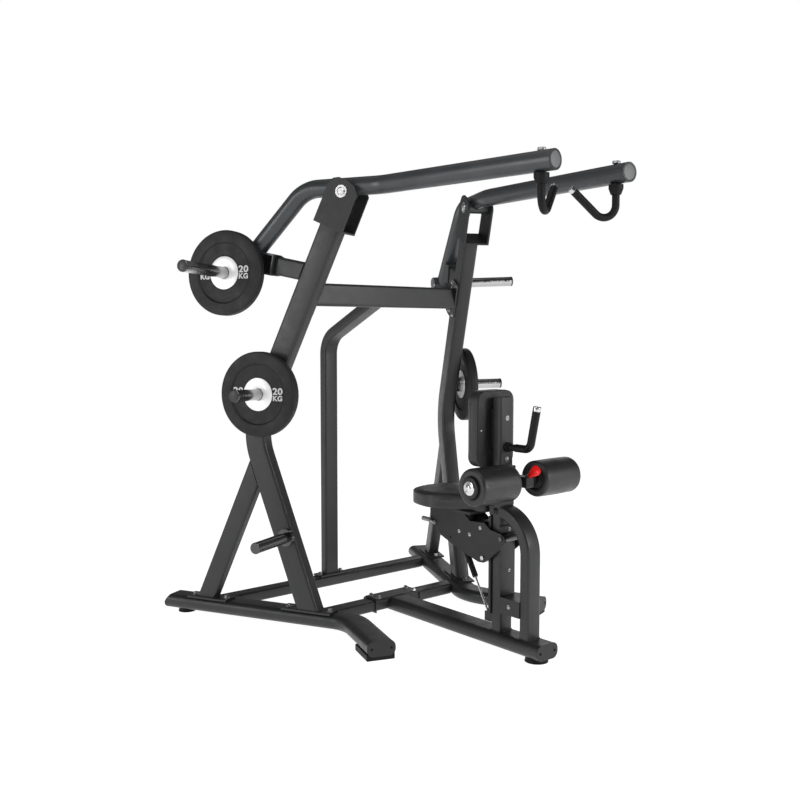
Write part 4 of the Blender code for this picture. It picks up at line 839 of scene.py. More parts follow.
    # swinging handle: stem, half-turn and slanted grip, hung from the arm's swivel bolt
    inward = -side_axes(side)[1]
    turn_r, rise = 0.050, math.radians(42)
    zc = 1.806
    pts = [Vector((0, 1.846)), Vector((0, zc))]
    for i in range(1, 37):
        a = math.radians(90 + 42) * i / 36
        pts.append(Vector((turn_r - turn_r * math.cos(a), zc - turn_r * math.sin(a))))
    last = pts[-1]
    pts.append(last + Vector((math.cos(rise), math.sin(rise))) * 0.140)
    pts_of_handle = pts
    path = [Vector((stem_top.x, stem_top.y, 0)) + inward * p.x + Vector((0, 0, p.y)) for p in pts]
    handle = round_tube(path, 0.0148, sides=3)
    collar = turned([(0.0, ARM_Z - ARM_R - 0.002), (0.0285, ARM_Z - ARM_R - 0.002), (0.0285, 1.868), (0.0200, 1.845), (0.0, 1.845)],
                    Matrix.Translation((stem_top.x, stem_top.y, 0)), 20)
    join(handle, baked(collar), "collar")
    bolt = cylinder((stem_top.x, stem_top.y, 1.86), (stem_top.x, stem_top.y, ARM_Z + ARM_R + 0.002), 0.0095, 16)
    join(handle, bolt, "bolt")
    head = cylinder((stem_top.x, stem_top.y, ARM_Z + ARM_R + 0.001), (stem_top.x, stem_top.y, ARM_Z + ARM_R + 0.010), 0.015, 16)
    join(handle, head, "head")
    baked(handle)
    finish(handle, word + "_handle", RUBBER)

# ----------------------------------------------------------------------------
# Upper crossbar and the rear centre post
# ----------------------------------------------------------------------------
BAR_Y, BAR_Z, BAR_H, BAR_D = 0.100, 1.4785, 0.100, 0.050
bar = swept([(-0.6, BAR_Y), (0.6, BAR_Y)], BAR_D, BAR_H, TUBE_R, Matrix.Translation((0, Y0, BAR_Z)))
inner_n = POST_N - POST_B / 2 - GAP
for side, word in SIDES:
    fwd, out = side_axes(side)
    blade = box((-1.0, -0.5, 0.0), (1.0, 0.5, 0.6))
    third = out
    m = Matrix((fwd, third.cross(fwd), third)).transposed().to_4x4()
    m.translation = out * (inner_n - 0.004) + Vector((0, Y0, BAR_Z))
    blade.matrix_world = m
    cut(bar, blade, "trim")
for side, word in SIDES:
    fwd, out = side_axes(side)
    s_bar = post_s(BAR_Z)
    flange = outline_plate([(p[0], p[1]) for p in rounded_outline(0.086, 0.180, 0.012, 2)], FLANGE_T,
                           side_matrix(side, inner_n - FLANGE_T / 2) @ Matrix.Translation((s_bar, BAR_Z, 0)) @
                           Matrix.Rotation(-math.atan2(HIGH_DIR.x, HIGH_DIR.y), 4, "Z"))
    join(bar, flange, "flange")
for side, word in SIDES:
    # vent hole through each flange into the tube
    c = at(side, post_s(BAR_Z) , inner_n, BAR_Z)
    c.y = BAR_Y + Y0
    c.x = side * (inner_n / math.cos(SPLAY) + math.tan(SPLAY) * BAR_Y)
    out = side_axes(side)[1]
    cut(bar, cylinder(c - out * 0.03, c + out * 0.03, 0.009, 12), "vent")
finish(bar, "upper_crossbar", FRAME_PAINT)

REAR_POST_Y = 0.567
corner = (REAR_POST_Y, 1.279)
slope = 0.466
bar_back = BAR_Y + BAR_D / 2
path = fillet([(REAR_POST_Y, 0.05), corner, (bar_back - 0.04, 1.279 + (REAR_POST_Y - bar_back + 0.04) * slope)], [0.12])
cross_top = CROSS_ZC + CROSS_B / 2 + GAP
rear = swept(path, TUBE_B, TUBE_A + 0.003, TUBE_R, YZ)
cut(rear, box((-1, -1, -0.5), (1, 1, cross_top + 0.004)), "foot_trim")
cut(rear, box((-1, -1, 1.2), (1, bar_back + GAP + 0.003 + Y0, 2.0)), "bar_trim")
join(rear, box((-0.080, REAR_POST_Y - 0.040 + Y0, cross_top), (0.080, REAR_POST_Y + 0.030 + Y0, cross_top + FLANGE_T)), "foot_plate")
z_hit = 1.279 + (REAR_POST_Y - bar_back) * slope
join(rear, box((-0.060, bar_back + GAP + Y0, z_hit - 0.048), (0.060, bar_back + GAP + 0.006 + Y0, z_hit + 0.040)), "head_plate")
cut(rear, cylinder((0, REAR_POST_Y - 0.005 + Y0, cross_top - 0.02), (0, REAR_POST_Y - 0.005 + Y0, cross_top + 0.03), 0.009, 12), "vent")
finish(rear, "rear_post", FRAME_PAINT)

# ----------------------------------------------------------------------------
# Seat column: upright, arch, rails, chest post, pad and handle
# ----------------------------------------------------------------------------
COL_BACK = COLUMN_Y + TUBE_B
COL_MID = COLUMN_Y + TUBE_B / 2
SEAT_FOOT_Z = BASE_Z1 + GAP
COL_TOP = 0.6095
upright = swept([(COL_MID, SEAT_FOOT_Z), (COL_MID, COL_TOP)], TUBE_B, TUBE_A, TUBE_R, YZ)
cap_plate = box((-0.0400, COLUMN_Y - 0.0005 + Y0, COL_TOP - 0.004), (0.0400, COL_BACK + 0.008 + Y0, COL_TOP + 0.004))
join(upright, cap_plate, "top_plate")
# two lugs on the back that take the foot of the gas spring
for x in (-0.0125, 0.0125):
    lug = box((x - 0.0025, COL_BACK - 0.002 + Y0, 0.105), (x + 0.0025, -0.5660 + Y0, 0.145))
    join(upright, lug, "lug")
finish(upright, "seat_upright", FRAME_PAINT)

ARCH_R, ARCH_CY, ARCH_CZ = 0.1635, -0.6430, 0.4200
arch_pts = [(ARCH_CY - ARCH_R, SEAT_FOOT_Z)]
for i in range(0, 37):
    a = math.radians(90 * i / 36)
    arch_pts.append((ARCH_CY - ARCH_R * math.cos(a), ARCH_CZ + ARCH_R * math.sin(a)))
arch_pts.append((ARCH_CY + 0.03, ARCH_CZ + ARCH_R))
arch = swept(arch_pts, TUBE_B, TUBE_A, TUBE_R, YZ)
cut(arch, box((-0.2, COLUMN_Y - GAP + Y0, 0.05), (0.2, 0.5, 1.0)), "upright_trim")
RAIL_W = 0.088
FRONT_RAIL_T, REAR_RAIL_T = 0.006, 0.012
TIE_Z0, TIE_Z1 = 0.165, 0.2325
front_rail = box((-RAIL_W / 2, COLUMN_Y - GAP - FRONT_RAIL_T + Y0, TIE_Z1 + GAP), (RAIL_W / 2, COLUMN_Y - GAP + Y0, 0.5250), bevel=0.0015, segments=1)
finish(front_rail, "front_guide_rail", FRAME_PAINT)
rear_rail = box((-RAIL_W / 2, COL_BACK + GAP + Y0, 0.150), (RAIL_W / 2, COL_BACK + GAP + REAR_RAIL_T + Y0, 0.560), bevel=0.0015, segments=1)
finish(rear_rail, "rear_guide_rail", FRAME_PAINT)
arch_back = ARCH_CY - ARCH_R + TUBE_B / 2
tie = box((-RAIL_W / 2 + 0.002, arch_back - 0.006 + Y0, TIE_Z0), (RAIL_W / 2 - 0.002, COLUMN_Y - GAP + Y0, TIE_Z1))
join(arch, tie, "tie")
finish(arch, "seat_arch", FRAME_PAINT)

POST_TOP = 1.050
CHEST_FOOT = COL_TOP + 0.004 + GAP
chest = swept([(COL_MID + 0.0015, CHEST_FOOT + 0.004), (COL_MID + 0.0015, POST_TOP)], TUBE_B, TUBE_A, TUBE_R, YZ)
join(chest, box((-0.0400, COLUMN_Y - 0.0005 + Y0, CHEST_FOOT), (0.0400, COL_BACK + 0.008 + Y0, CHEST_FOOT + 0.008)), "foot_plate")
PAD_Y0 = COL_BACK + 0.0015 + 0.012
join(chest, box((-0.030, COL_BACK - 0.001 + Y0, 0.850), (0.030, PAD_Y0 - GAP + Y0, 1.000)), "pad_mount")
finish(chest, "chest_post", FRAME_PAINT)

pad_profile = rounded_outline(0.209, 0.316, 0.044, 4)
pad = outline_plate(pad_profile, 0.072, axis_matrix((0, PAD_Y0 + 0.036 + Y0, 0.918), (0, 1, 0)) @ Matrix.Identity(4))
finish(pad, "chest_pad", VINYL)

handle_pts = fillet([(0, COLUMN_Y + 0.0015 - GAP, 0.8470), (0, -0.7990, 0.8470), (0, -0.8360, 1.0220)], [0.034])
chest_handle = round_tube([Vector((p[0], p[1] + Y0, p[2])) for p in handle_pts], 0.0140, sides=3)
join(chest_handle, cylinder((0, COLUMN_Y + 0.0015 - GAP + Y0, 0.847), (0, COLUMN_Y - 0.010 + Y0, 0.847), 0.020, 20), "root")
finish(chest_handle, "chest_handle", RUBBER)

# ----------------------------------------------------------------------------
# Thigh rollers on their sliding bracket, and its pull pin
# ----------------------------------------------------------------------------
SLV = 0.0012
SLV_T = 0.005
CH_F = COLUMN_Y + 0.0015
CH_B = CH_F + TUBE_B
sleeve = box((-TUBE_A / 2 - SLV - SLV_T, CH_F - SLV - SLV_T + Y0, 0.672), (TUBE_A / 2 + SLV + SLV_T, CH_B + SLV + SLV_T + Y0, 0.768))
cut(sleeve, box((-TUBE_A / 2 - SLV, CH_F - SLV + Y0, 0.5), (TUBE_A / 2 + SLV, CH_B + SLV + Y0, 1.0)), "post_hole")
nose_box = box((-0.0225, -0.802 + Y0, 0.694), (0.0225, CH_F - SLV - SLV_T + 0.002 + Y0, 0.738), bevel=0.003, segments=1)
join(sleeve, nose_box, "nose")
AXLE_R = 0.0125
axle = cylinder((-ROLL_OUT - 0.013, ROLL_Y + Y0, ROLL_Z), (ROLL_OUT + 0.013, ROLL_Y + Y0, ROLL_Z), AXLE_R, 20)
join(sleeve, axle, "axle")
for side in (-1, 1):
    join(sleeve, cylinder((side * 0.0675, ROLL_Y + Y0, ROLL_Z), (side * 0.020, ROLL_Y + Y0, ROLL_Z), 0.021, 20), "shoulder")
PIN_DIR = Vector((0, -0.80, 0.60)).normalized()
PIN_C = Vector((0, -0.790 + Y0, 0.737))
pin_tube = cylinder(PIN_C - PIN_DIR * 0.022, PIN_C + PIN_DIR * 0.004, 0.0105, 16)
join(sleeve, pin_tube, "pin_tube")
cut(sleeve, cylinder(PIN_C - PIN_DIR * 0.012, PIN_C + PIN_DIR * 0.05, 0.0062, 12), "pin_hole")
finish(sleeve, "roller_bracket", FRAME_PAINT)

knob_profile = [(0.0, 0.062), (0.013, 0.0615), (0.0190, 0.0575), (0.0210, 0.050), (0.0180, 0.034), (0.0110, 0.017), (0.0095, 0.0075), (0.0052, 0.0070), (0.0052, -0.008), (0.0, -0.008)]
knob = turned(knob_profile, axis_matrix(PIN_C + PIN_DIR * 0.0010, PIN_DIR), 20)
finish(knob, "pull_pin", RED)

for side, word in SIDES:
    m = axis_matrix((side * ROLL_IN, ROLL_Y + Y0, ROLL_Z), (side, 0, 0))
    r = ROLL_R
    length = ROLL_OUT - ROLL_IN
    profile = [(AXLE_R + 0.0005, length + 0.009), (0.040, length + 0.009), (0.043, length + 0.006), (0.043, length), (r - 0.012, length),
               (r - 0.004, length - 0.004), (r, length - 0.012), (r, 0.012),
               (r - 0.004, 0.004), (r - 0.012, 0.0), (AXLE_R + 0.0005, 0.0), (AXLE_R + 0.0005, length + 0.009)]
    finish(turned(profile, m, 32), word + "_thigh_roller", VINYL)

# ----------------------------------------------------------------------------
# Seat carriage, guide rollers, release lever, gas spring and seat pad
# ----------------------------------------------------------------------------
PLATE_X, PLATE_THK = 0.0550, 0.006
carriage_outline = [(-0.268, 0.544), (-0.464, 0.5635), (-0.519, 0.5247), (-0.602, 0.529), (-0.637, 0.5055), (-0.694, 0.498),
                    (-0.716, 0.4855), (-0.724, 0.466), (-0.696, 0.436), (-0.6265, 0.3785), (-0.600, 0.362), (-0.570, 0.3600), (-0.478, 0.3855),
                    (-0.4035, 0.4113), (-0.340, 0.4356), (-0.2745, 0.4915)]
carriage = outline_plate(carriage_outline, PLATE_THK, YZ @ Matrix.Translation((0, 0, -PLATE_X)))
other = outline_plate(carriage_outline, PLATE_THK, YZ @ Matrix.Translation((0, 0, PLATE_X)))
join(carriage, other, "plate")
# cross pieces between the plates, and the sloping seat tray on top
join(carriage, box((-PLATE_X - 0.001, -0.560 + Y0, 0.486), (PLATE_X + 0.001, -0.500 + Y0, 0.522)), "cross")
join(carriage, box((-PLATE_X - 0.001, -0.440 + Y0, 0.500), (PLATE_X + 0.001, -0.300 + Y0, 0.538)), "cross")
join(carriage, box((-0.100, -0.560 + Y0, 0.5602), (0.100, -0.262 + Y0, 0.5717)), "tray")
join(carriage, box((-PLATE_X - 0.003, -0.440 + Y0, 0.530), (PLATE_X + 0.003, -0.280 + Y0, 0.5665)), "riser")
FR_Y, FR_Z, FR_R = COLUMN_Y - GAP - FRONT_RAIL_T - GAP - 0.0155, 0.477, 0.0155
RR_Y, RR_Z, RR_R = COL_BACK + GAP + REAR_RAIL_T + GAP + 0.019, 0.381, 0.019
LEVER_Y, LEVER_Z = -0.300, 0.500
for y, z in ((FR_Y, FR_Z), (RR_Y, RR_Z)):
    cut(carriage, cylinder((-0.1, y + Y0, z), (0.1, y + Y0, z), 0.0066, 12), "axle_hole")
cut(carriage, cylinder((-0.1, LEVER_Y + Y0, 0.486), (0.1, LEVER_Y + Y0, 0.486), 0.0056, 12), "lever_hole")
GS_TOP = Vector((0.0, -0.4020, 0.4380))
cut(carriage, cylinder((-0.1, GS_TOP.y + Y0, GS_TOP.z), (0.1, GS_TOP.y + Y0, GS_TOP.z), 0.0056, 12), "spring_hole")
finish(carriage, "seat_carriage", FRAME_PAINT)

for (y, z, r), name in (((FR_Y, FR_Z, FR_R), "front_guide_roller"), ((RR_Y, RR_Z, RR_R), "rear_guide_roller")):
    w = PLATE_X - PLATE_THK / 2 - 0.001
    e = PLATE_X + PLATE_THK / 2 + GAP
    profile = [(0.0, e + 0.005), (0.009, e + 0.005), (0.009, e), (0.006, e), (0.006, w), (r, w), (r, -w), (0.006, -w),
               (0.006, -e), (0.009, -e), (0.009, -e - 0.005), (0.0, -e - 0.005)]
    finish(turned(profile, axis_matrix((0, y + Y0, z), (1, 0, 0)), 20), name, STEEL)

# seat pad: a rounded saddle outline, broad behind and narrow at the front, with a crowned top
SEAT_Z0 = 0.5720


def cushion(outline, levels, middle):
    """An upright block whose outline shrinks towards its middle from level to level."""
    bm = bmesh.new()
    rings = []
    for k, z in levels:
        rings.append([bm.verts.new((middle[0] + (x - middle[0]) * k, middle[1] + (y - middle[1]) * k + Y0, z)) for x, y in outline])
    for low, high in zip(rings, rings[1:]):
        for i in range(len(outline)):
            j = (i + 1) % len(outline)
            bm.faces.new((low[i], low[j], high[j], high[i]))
    bm.faces.new(rings[0][::-1])
    bm.faces.new(rings[-1])
    bmesh.ops.recalc_face_normals(bm, faces=bm.faces[:])
    return new_mesh_object("cushion", bm)


half_outline = [(0.0, -0.190), (0.055, -0.194), (0.100, -0.208), (0.133, -0.238), (0.152, -0.285), (0.162, -0.340), (0.162, -0.378),
                (0.150, -0.410), (0.128, -0.445), (0.098, -0.498), (0.075, -0.550), (0.062, -0.585), (0.045, -0.600), (0.0, -0.602)]
seat_outline = half_outline + [(-x, y) for x, y in reversed(half_outline[1:-1])]
seat = cushion(seat_outline, [(1.0, SEAT_Z0), (1.0, 0.628), (0.965, 0.6355), (0.80, 0.6415), (0.45, 0.6440)], (0.0, -0.385))
finish(seat, "seat_pad", VINYL)

# release lever: a bar through the carriage with a boss, neck and grip at one end
lever = round_tube(fillet([(-0.066, LEVER_Y + Y0, 0.486), (0.066, LEVER_Y + Y0, 0.486)], []), 0.0052, sides=2)
join(lever, cylinder((-0.0635, LEVER_Y + Y0, 0.486), (-0.0585, LEVER_Y + Y0, 0.486), 0.0085, 14), "boss")
join(lever, round_tube([Vector((-0.0645, LEVER_Y - 0.002 + Y0, 0.486)), Vector((-0.0670, LEVER_Y + 0.026 + Y0, 0.4945))], 0.0045, sides=2), "neck")
join(lever, cylinder((-0.0670, LEVER_Y + 0.020 + Y0, 0.4946), (-0.0670, LEVER_Y + 0.068 + Y0, 0.4958), 0.0085, 18), "grip")
finish(lever, "seat_release_lever", CHROME)

# gas spring between the carriage and the foot of the column
GS_BASE = Vector((0.0, -0.5800, 0.1250))
gs_dir = (GS_BASE - GS_TOP).normalized()
eye_w = 0.010
top = Vector((0, GS_TOP.y + Y0, GS_TOP.z))
cyl = turned([(0.0, -0.006), (0.0085, -0.006), (0.0125, -0.012), (0.0125, -0.186), (0.0100, -0.190), (0.0049, -0.190), (0.0049, -0.020), (0.0, -0.020)],
             axis_matrix(top, -gs_dir), 18)
baked(cyl)
join(cyl, cylinder(top + Vector((-eye_w, 0, 0)), top + Vector((eye_w, 0, 0)), 0.0115, 16), "eye")
pin = cylinder(top + Vector((-PLATE_X + PLATE_THK / 2 + 0.0005, 0, 0)), top + Vector((PLATE_X - PLATE_THK / 2 - 0.0005, 0, 0)), 0.005, 12)
join(cyl, pin, "pin")
finish(cyl, "gas_spring_cylinder", RUBBER)
base = Vector((0, GS_BASE.y + Y0, GS_BASE.z))
length = (GS_BASE - GS_TOP).length
rod = turned([(0.0, length - 0.095), (0.0044, length - 0.095), (0.0044, 0.004), (0.0, 0.004)], axis_matrix(base, -gs_dir), 14)
baked(rod)
join(rod, cylinder(base + Vector((-0.006, 0, 0)), base + Vector((0.006, 0, 0)), 0.0100, 16), "eye")
finish(rod, "gas_spring_rod", CHROME)


# ----------------------------------------------------------------------------
# Bolts: made once at unit size, then copied into place
# ----------------------------------------------------------------------------
def hex_prism(radius, z0, z1):
    bm = bmesh.new()
    bmesh.ops.create_cone(bm, cap_ends=True, segments=6, radius1=radius, radius2=radius, depth=z1 - z0,
                          matrix=Matrix.Translation((0, 0, (z0 + z1) / 2)))
    return new_mesh_object("hex", bm)


def template(profile, socket):
    """A turned head on a washer, with a hexagon socket when socket is set."""
    obj = baked(turned(profile, Matrix.Identity(4), 16))
    if socket:
        cut(obj, hex_prism(0.50, 0.42, 2.0), "socket")
        baked(obj)
    mesh = obj.data.copy()
    bpy.data.objects.remove(obj, do_unlink=True)
    sweep_up()
    return mesh


BUTTON = template([(0.0, 0.98), (0.45, 0.97), (0.72, 0.88), (0.90, 0.70), (0.98, 0.48), (1.0, 0.22), (1.0, 0.18),
                   (1.52, 0.18), (1.58, 0.12), (1.58, 0.0), (0.0, 0.0)], True)
CAP_HEAD = template([(0.0, 1.30), (0.86, 1.30), (0.96, 1.22), (1.0, 1.12), (1.0, 0.20), (1.50, 0.20), (1.56, 0.14), (1.56, 0.0), (0.0, 0.0)], True)


def hex_template(tall):
    obj = baked(turned([(0.0, tall), (0.86, tall), (1.16, tall - 0.14), (1.16, 0.20), (1.60, 0.20), (1.66, 0.14), (1.66, 0.0), (0.0, 0.0)], Matrix.Identity(4), 16))
    keep = hex_prism(1.13, 0.20, 2.0)
    join_disc = cylinder((0, 0, 0.0), (0, 0, 0.2001), 2.0, 24)
    join(keep, join_disc, "washer_zone")
    baked(keep)
    m = obj.modifiers.new("hex", "BOOLEAN")
    m.operation = "INTERSECT"
    m.object = tool(keep, "hex_keep")
    baked(obj)
    mesh = obj.data.copy()
    bpy.data.objects.remove(obj, do_unlink=True)
    sweep_up()
    return mesh


HEX = hex_template(1.0)
HEX_TALL = hex_template(1.35)
BOLT_COUNT = {}


def bolt(position, direction, radius=0.0072, body="frame", kind=None, look="zinc_steel", turn=0.0, group="bolt"):
    mesh = (kind or BUTTON).copy()
    m = axis_matrix(position, direction) @ Matrix.Rotation(turn, 4, "Z") @ Matrix.Diagonal((radius, radius, radius, 1.0))
    mesh.transform(m)
    BOLT_COUNT[group] = BOLT_COUNT.get(group, 0) + 1
    obj = bpy.data.objects.new(f"{group}_{BOLT_COUNT[group]:02d}", mesh)
    PARTS.objects.link(obj)
    mesh.materials.clear()
    mesh.materials.append(LOOKS[look])
    mesh.shade_smooth()
    mesh.set_sharp_from_angle(angle=math.radians(35))
    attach(obj, body)
    return obj


UP = Vector((0, 0, 1))
for side, word in SIDES:
    out = side_axes(side)[1]
    deck = FOOT_PLATE_Z + FLANGE_T
    for s_bolt in (-0.3855, -0.1800, -0.8880, -0.7180):
        bolt(at(side, s_bolt, POST_N - 0.002, deck), UP, 0.0088, kind=HEX_TALL, turn=random.random(), group="foot_bolt")
    # flange bolts of the upper crossbar, on the faces towards the middle
    for along in (-0.074, 0.074):
        for across in (-0.030, 0.030):
            p = HIGH_ACROSS * across + HIGH_DIR * along
            s_bar = post_s(BAR_Z)
            bolt(at(side, s_bar + p.x, inner_n - FLANGE_T, BAR_Z + p.y), -out, 0.0068, kind=HEX, turn=random.random(), group="crossbar_bolt")
    # tee joint
    for dy in (-0.030, 0.030):
        bolt((side * 0.106, FRONT_Y + Y0 + dy, BASE_Z1 + 0.004), UP, 0.0080, kind=HEX_TALL, turn=random.random(), group="saddle_bolt")
    bolt((side * 0.0635, REAR_POST_Y - 0.005 + Y0, cross_top + FLANGE_T), UP, 0.0088, kind=HEX_TALL, turn=random.random(), group="rear_foot_bolt")
    # carriage plates
    for y, z in ((-0.453, 0.4715), (-0.5167, 0.467), (-0.579, 0.5045)):
        bolt((side * (PLATE_X + PLATE_THK / 2), y + Y0, z), (side, 0, 0), 0.0050, body="seat_carriage", turn=random.random(), group="carriage_bolt")
for z in (0.9655, 0.797):
    bolt((0, CH_F + Y0, z), (0, -1, 0), 0.0066, group="chest_post_bolt")
for z in (0.5077, 0.336):
    bolt((0.010, COLUMN_Y - GAP - FRONT_RAIL_T + Y0, z), (0, -1, 0), 0.0042, group="rail_bolt")
for z in (0.190,):
    for side in (-1, 1):
        bolt((side * (RAIL_W / 2 - 0.002), (COLUMN_Y + arch_back) / 2 + Y0, z + 0.01), (side, 0, 0), 0.0058, group="tie_bolt")
for z in (0.190, 0.520):
    bolt((0.0, COL_BACK + GAP + REAR_RAIL_T + Y0, z), (0, 1, 0), 0.0048, group="rear_rail_bolt")
for x in (-0.034, 0.034):
    for z in (1.4720, 1.5180):
        bolt((x * 1.35, bar_back + GAP + 0.006 + Y0, z), (0, 1, 0), 0.0058, kind=HEX, turn=random.random(), group="head_plate_bolt")

# ----------------------------------------------------------------------------
# Welds: a rippled bead round the foot of a welded tube
# ----------------------------------------------------------------------------
def bead(points, radius, name, body, closed=True):
    """A bead that follows a polyline, rippled like a row of overlapping drops."""
    dense = []
    count = len(points)
    for i in range(count if closed else count - 1):
        a, b = Vector(points[i]), Vector(points[(i + 1) % count])
        steps = max(1, int((b - a).length / 0.0022))
        for k in range(steps):
            dense.append(a + (b - a) * k / steps)
    bm = bmesh.new()
    rings = []
    n = len(dense)
    for i, p in enumerate(dense):
        d = (dense[(i + 1) % n] - dense[i - 1]).normalized()
        m = axis_matrix(p, d)
        r = radius * (1.0 + 0.16 * math.sin(i * 1.9) + 0.10 * noise.noise(p * 90))
        rings.append([bm.verts.new(m @ Vector((r * math.cos(a), r * math.sin(a), 0))) for a in (math.tau * k / 8 for k in range(8))])
    for i in range(n if closed else n - 1):
        a, b = rings[i], rings[(i + 1) % n]
        for k in range(8):
            bm.faces.new((a[k], a[(k + 1) % 8], b[(k + 1) % 8], b[k]))
    if not closed:
        bm.faces.new(rings[0][::-1])
        bm.faces.new(rings[-1])
    bmesh.ops.recalc_face_normals(bm, faces=bm.faces[:])
    obj = new_mesh_object(name, bm)
    return dress(obj, name, "weld", body, 60)


def ring_on(matrix, w, h, r, shear=(0.0, 0.0)):
    """Section outline carried into the world; the shear slants it along the matrix's Z."""
    return [matrix @ Vector((x, y, x * shear[0] + y * shear[1])) for x, y in rounded_outline(w, h, r, 6)]


for side, word in SIDES:
    fwd, out = side_axes(side)
    deck = FOOT_PLATE_Z + FLANGE_T
    for s_mid, slope_here, w, d, r, tag in ((post_s(deck), LOW_SLOPE, POST_B, POST_D, POST_R, "post"),
                                            (-0.8124 + 0.4457 * (deck - 0.09), 0.4457, LEG_B, LEG_D, LEG_R, "leg")):
        stretch = math.sqrt(1 + slope_here ** 2)
        pts = [at(side, s_mid + y * stretch, POST_N + x, deck + 0.0008) for x, y in rounded_outline(w + 0.001, d + 0.001, r, 6)]
        bead(pts, 0.0026, f"{word}_{tag}_foot_weld", "frame")

# seat upright and arch on the centre tube
for y, w, d, tag in ((COL_MID, TUBE_A, TUBE_B, "upright"), (ARCH_CY - ARCH_R, TUBE_A, TUBE_B, "arch")):
    pts = [Vector((x, y + q + Y0, BASE_Z1 + 0.0008)) for x, q in rounded_outline(w + 0.001, d + 0.001, TUBE_R, 6)]
    bead(pts, 0.0026, f"{tag}_foot_weld", "frame")
pts = [Vector((x, REAR_POST_Y + q + Y0, cross_top + FLANGE_T + 0.0006)) for x, q in rounded_outline(TUBE_A + 0.004, TUBE_B + 0.001, TUBE_R, 6)]
bead(pts, 0.0024, "rear_post_foot_weld", "frame")
# arch to upright
pts = [Vector((x, COLUMN_Y - 0.0002 + Y0, ARCH_CZ + ARCH_R + q)) for x, q in rounded_outline(TUBE_A - 0.004, TUBE_B + 0.001, TUBE_R, 6)]
bead(pts, 0.0024, "arch_top_weld", "frame")
pts = [Vector((x, CH_F + 0.025 + q + Y0, CHEST_FOOT + 0.0088)) for x, q in rounded_outline(TUBE_A + 0.001, TUBE_B + 0.001, TUBE_R, 6)]
bead(pts, 0.0022, "chest_post_foot_weld", "frame")

# ----------------------------------------------------------------------------
# Plates: steel hub rings and raised figures
# ----------------------------------------------------------------------------
def raised_text(body_text, size, matrix, name, look, body, depth=0.0006):
    data = bpy.data.curves.new(name, "FONT")
    data.body = body_text
    data.size = size
    data.align_x = "CENTER"
    data.align_y = "CENTER"
    data.extrude = depth
    data.offset = 0.0011
    data.space_character = 1.05
    data.resolution_u = 6
    obj = bpy.data.objects.new(name, data)
    PARTS.objects.link(obj)
    obj.matrix_world = matrix
    bpy.context.view_layer.update()
    made = meshed(obj)
    return dress(made, name, look, body, 40)


for name, inner, axis, side in PLATE_PLACES:
    body = BODY_OF[name]
    m = axis_matrix(inner, axis)
    # outer and inner face hub rings, near-white with little metal: a painted reflection standing in for bright steel
    for tag, h0, h1 in (("outer", PLATE_T - PLATE_DISH + 0.0002, PLATE_T - PLATE_DISH + 0.0024), ("inner", PLATE_DISH - 0.0024, PLATE_DISH - 0.0002)):
        ring = turned([(0.0266, h1 - 0.0008), (0.0285, h1), (0.0705, h1), (0.0722, h1 - 0.0010), (0.0722, h0), (0.0266, h0), (0.0266, h1 - 0.0008)], m, 32)
        dress(ring, f"{name}_{tag}_hub", "hub_steel_painted_reflection", body)
    # figures stand upright on the outer face, on each side of the hub
    face_x = Vector((0, 0, 1)).cross(axis).normalized()
    face_y = axis.cross(face_x).normalized()
    place = Matrix((face_x, face_y, axis)).transposed().to_4x4()
    for sign in (-1, 1):
        for text, size, drop in (("20", 0.040, 0.0135), ("KG", 0.031, -0.0165)):
            q = place.copy()
            q.translation = inner + axis * (PLATE_T - PLATE_DISH + 0.0004) + face_x * sign * 0.0995 + face_y * drop
            q = q @ Matrix.Diagonal((1.22 if text == "20" else 1.12, 1.0, 1.0, 1.0))
            raised_text(text, size, q, f"{name}_{text}_{'a' if sign < 0 else 'b'}", "white_print", body)

# ----------------------------------------------------------------------------
# Horn ends, lips and bumpers
# ----------------------------------------------------------------------------
def horn_axis(side, tilt):
    out = side_axes(side)[1]
    return (out * math.cos(tilt) + Vector((0, 0, math.sin(tilt)))).normalized()


for side, word in SIDES:
    fwd, out = side_axes(side)
    face = POST_N + POST_B / 2 + 0.0022
    for tag, s, n0, tip_n, tip_z, tilt, body, look in (
            ("arm_horn", -0.6439, PIVOT_N - ARM_R - 0.020, 0.7706, 1.5869, U_HORN_TILT, word + "_arm", "horn_end"),
            ("lower_horn", -0.4782, face, 0.6524, 1.0467, L_HORN_TILT, "frame", "horn_end")):
        axis = horn_axis(side, tilt)
        tip = at(side, s, tip_n, tip_z)
        disc = turned([(0.0, 0.0), (0.0236, 0.0), (0.0246, -0.0006), (0.0248, -0.0016), (0.0240, -0.0040), (0.0, -0.0040)], axis_matrix(tip + axis * 0.0008, axis), 32)
        dress(disc, f"{word}_{tag}_end", look, body)
        sleeve_end = turned([(HORN_R + 0.0002, -0.0030), (HORN_R + 0.0009, -0.0038), (HORN_R + 0.0009, -0.0068), (HORN_R + 0.0002, -0.0076), (HORN_R - 0.002, -0.0076), (HORN_R - 0.002, -0.0030), (HORN_R + 0.0002, -0.0030)],
                            axis_matrix(tip, axis), 32)
        dress(sleeve_end, f"{word}_{tag}_lip", "dark_cap", body)
    # axis, start and reach along the arm horn between the arm's boss and the plate; nothing is made from them
    axis = horn_axis(side, U_HORN_TILT)
    n0 = PIVOT_N - ARM_R - 0.020
    start = at(side, -0.6439, n0, 1.5869 - (0.7706 - n0) * math.tan(U_HORN_TILT))
    a = (PLATE_N - n0) / math.cos(U_HORN_TILT)
    # rubber face on the arm stop, where the arm's bracket comes to rest
    place = side_matrix(side, PIVOT_N - 0.008) @ Matrix.Translation((end.x, end.y, 0)) @ Matrix.Rotation(math.atan2(back.y, back.x), 4, "Z") @ \
        Matrix.Rotation(math.radians(90), 4, "Y")
    pad_shape = outline_plate([(x, y) for x, y in rounded_outline(0.0565, 0.0865, 0.014, 6)], 0.014, place @ Matrix.Translation((0, 0, -0.0066)), 0.0015)
    dress(pad_shape, word + "_stop_bumper", "black_rubber", "frame")

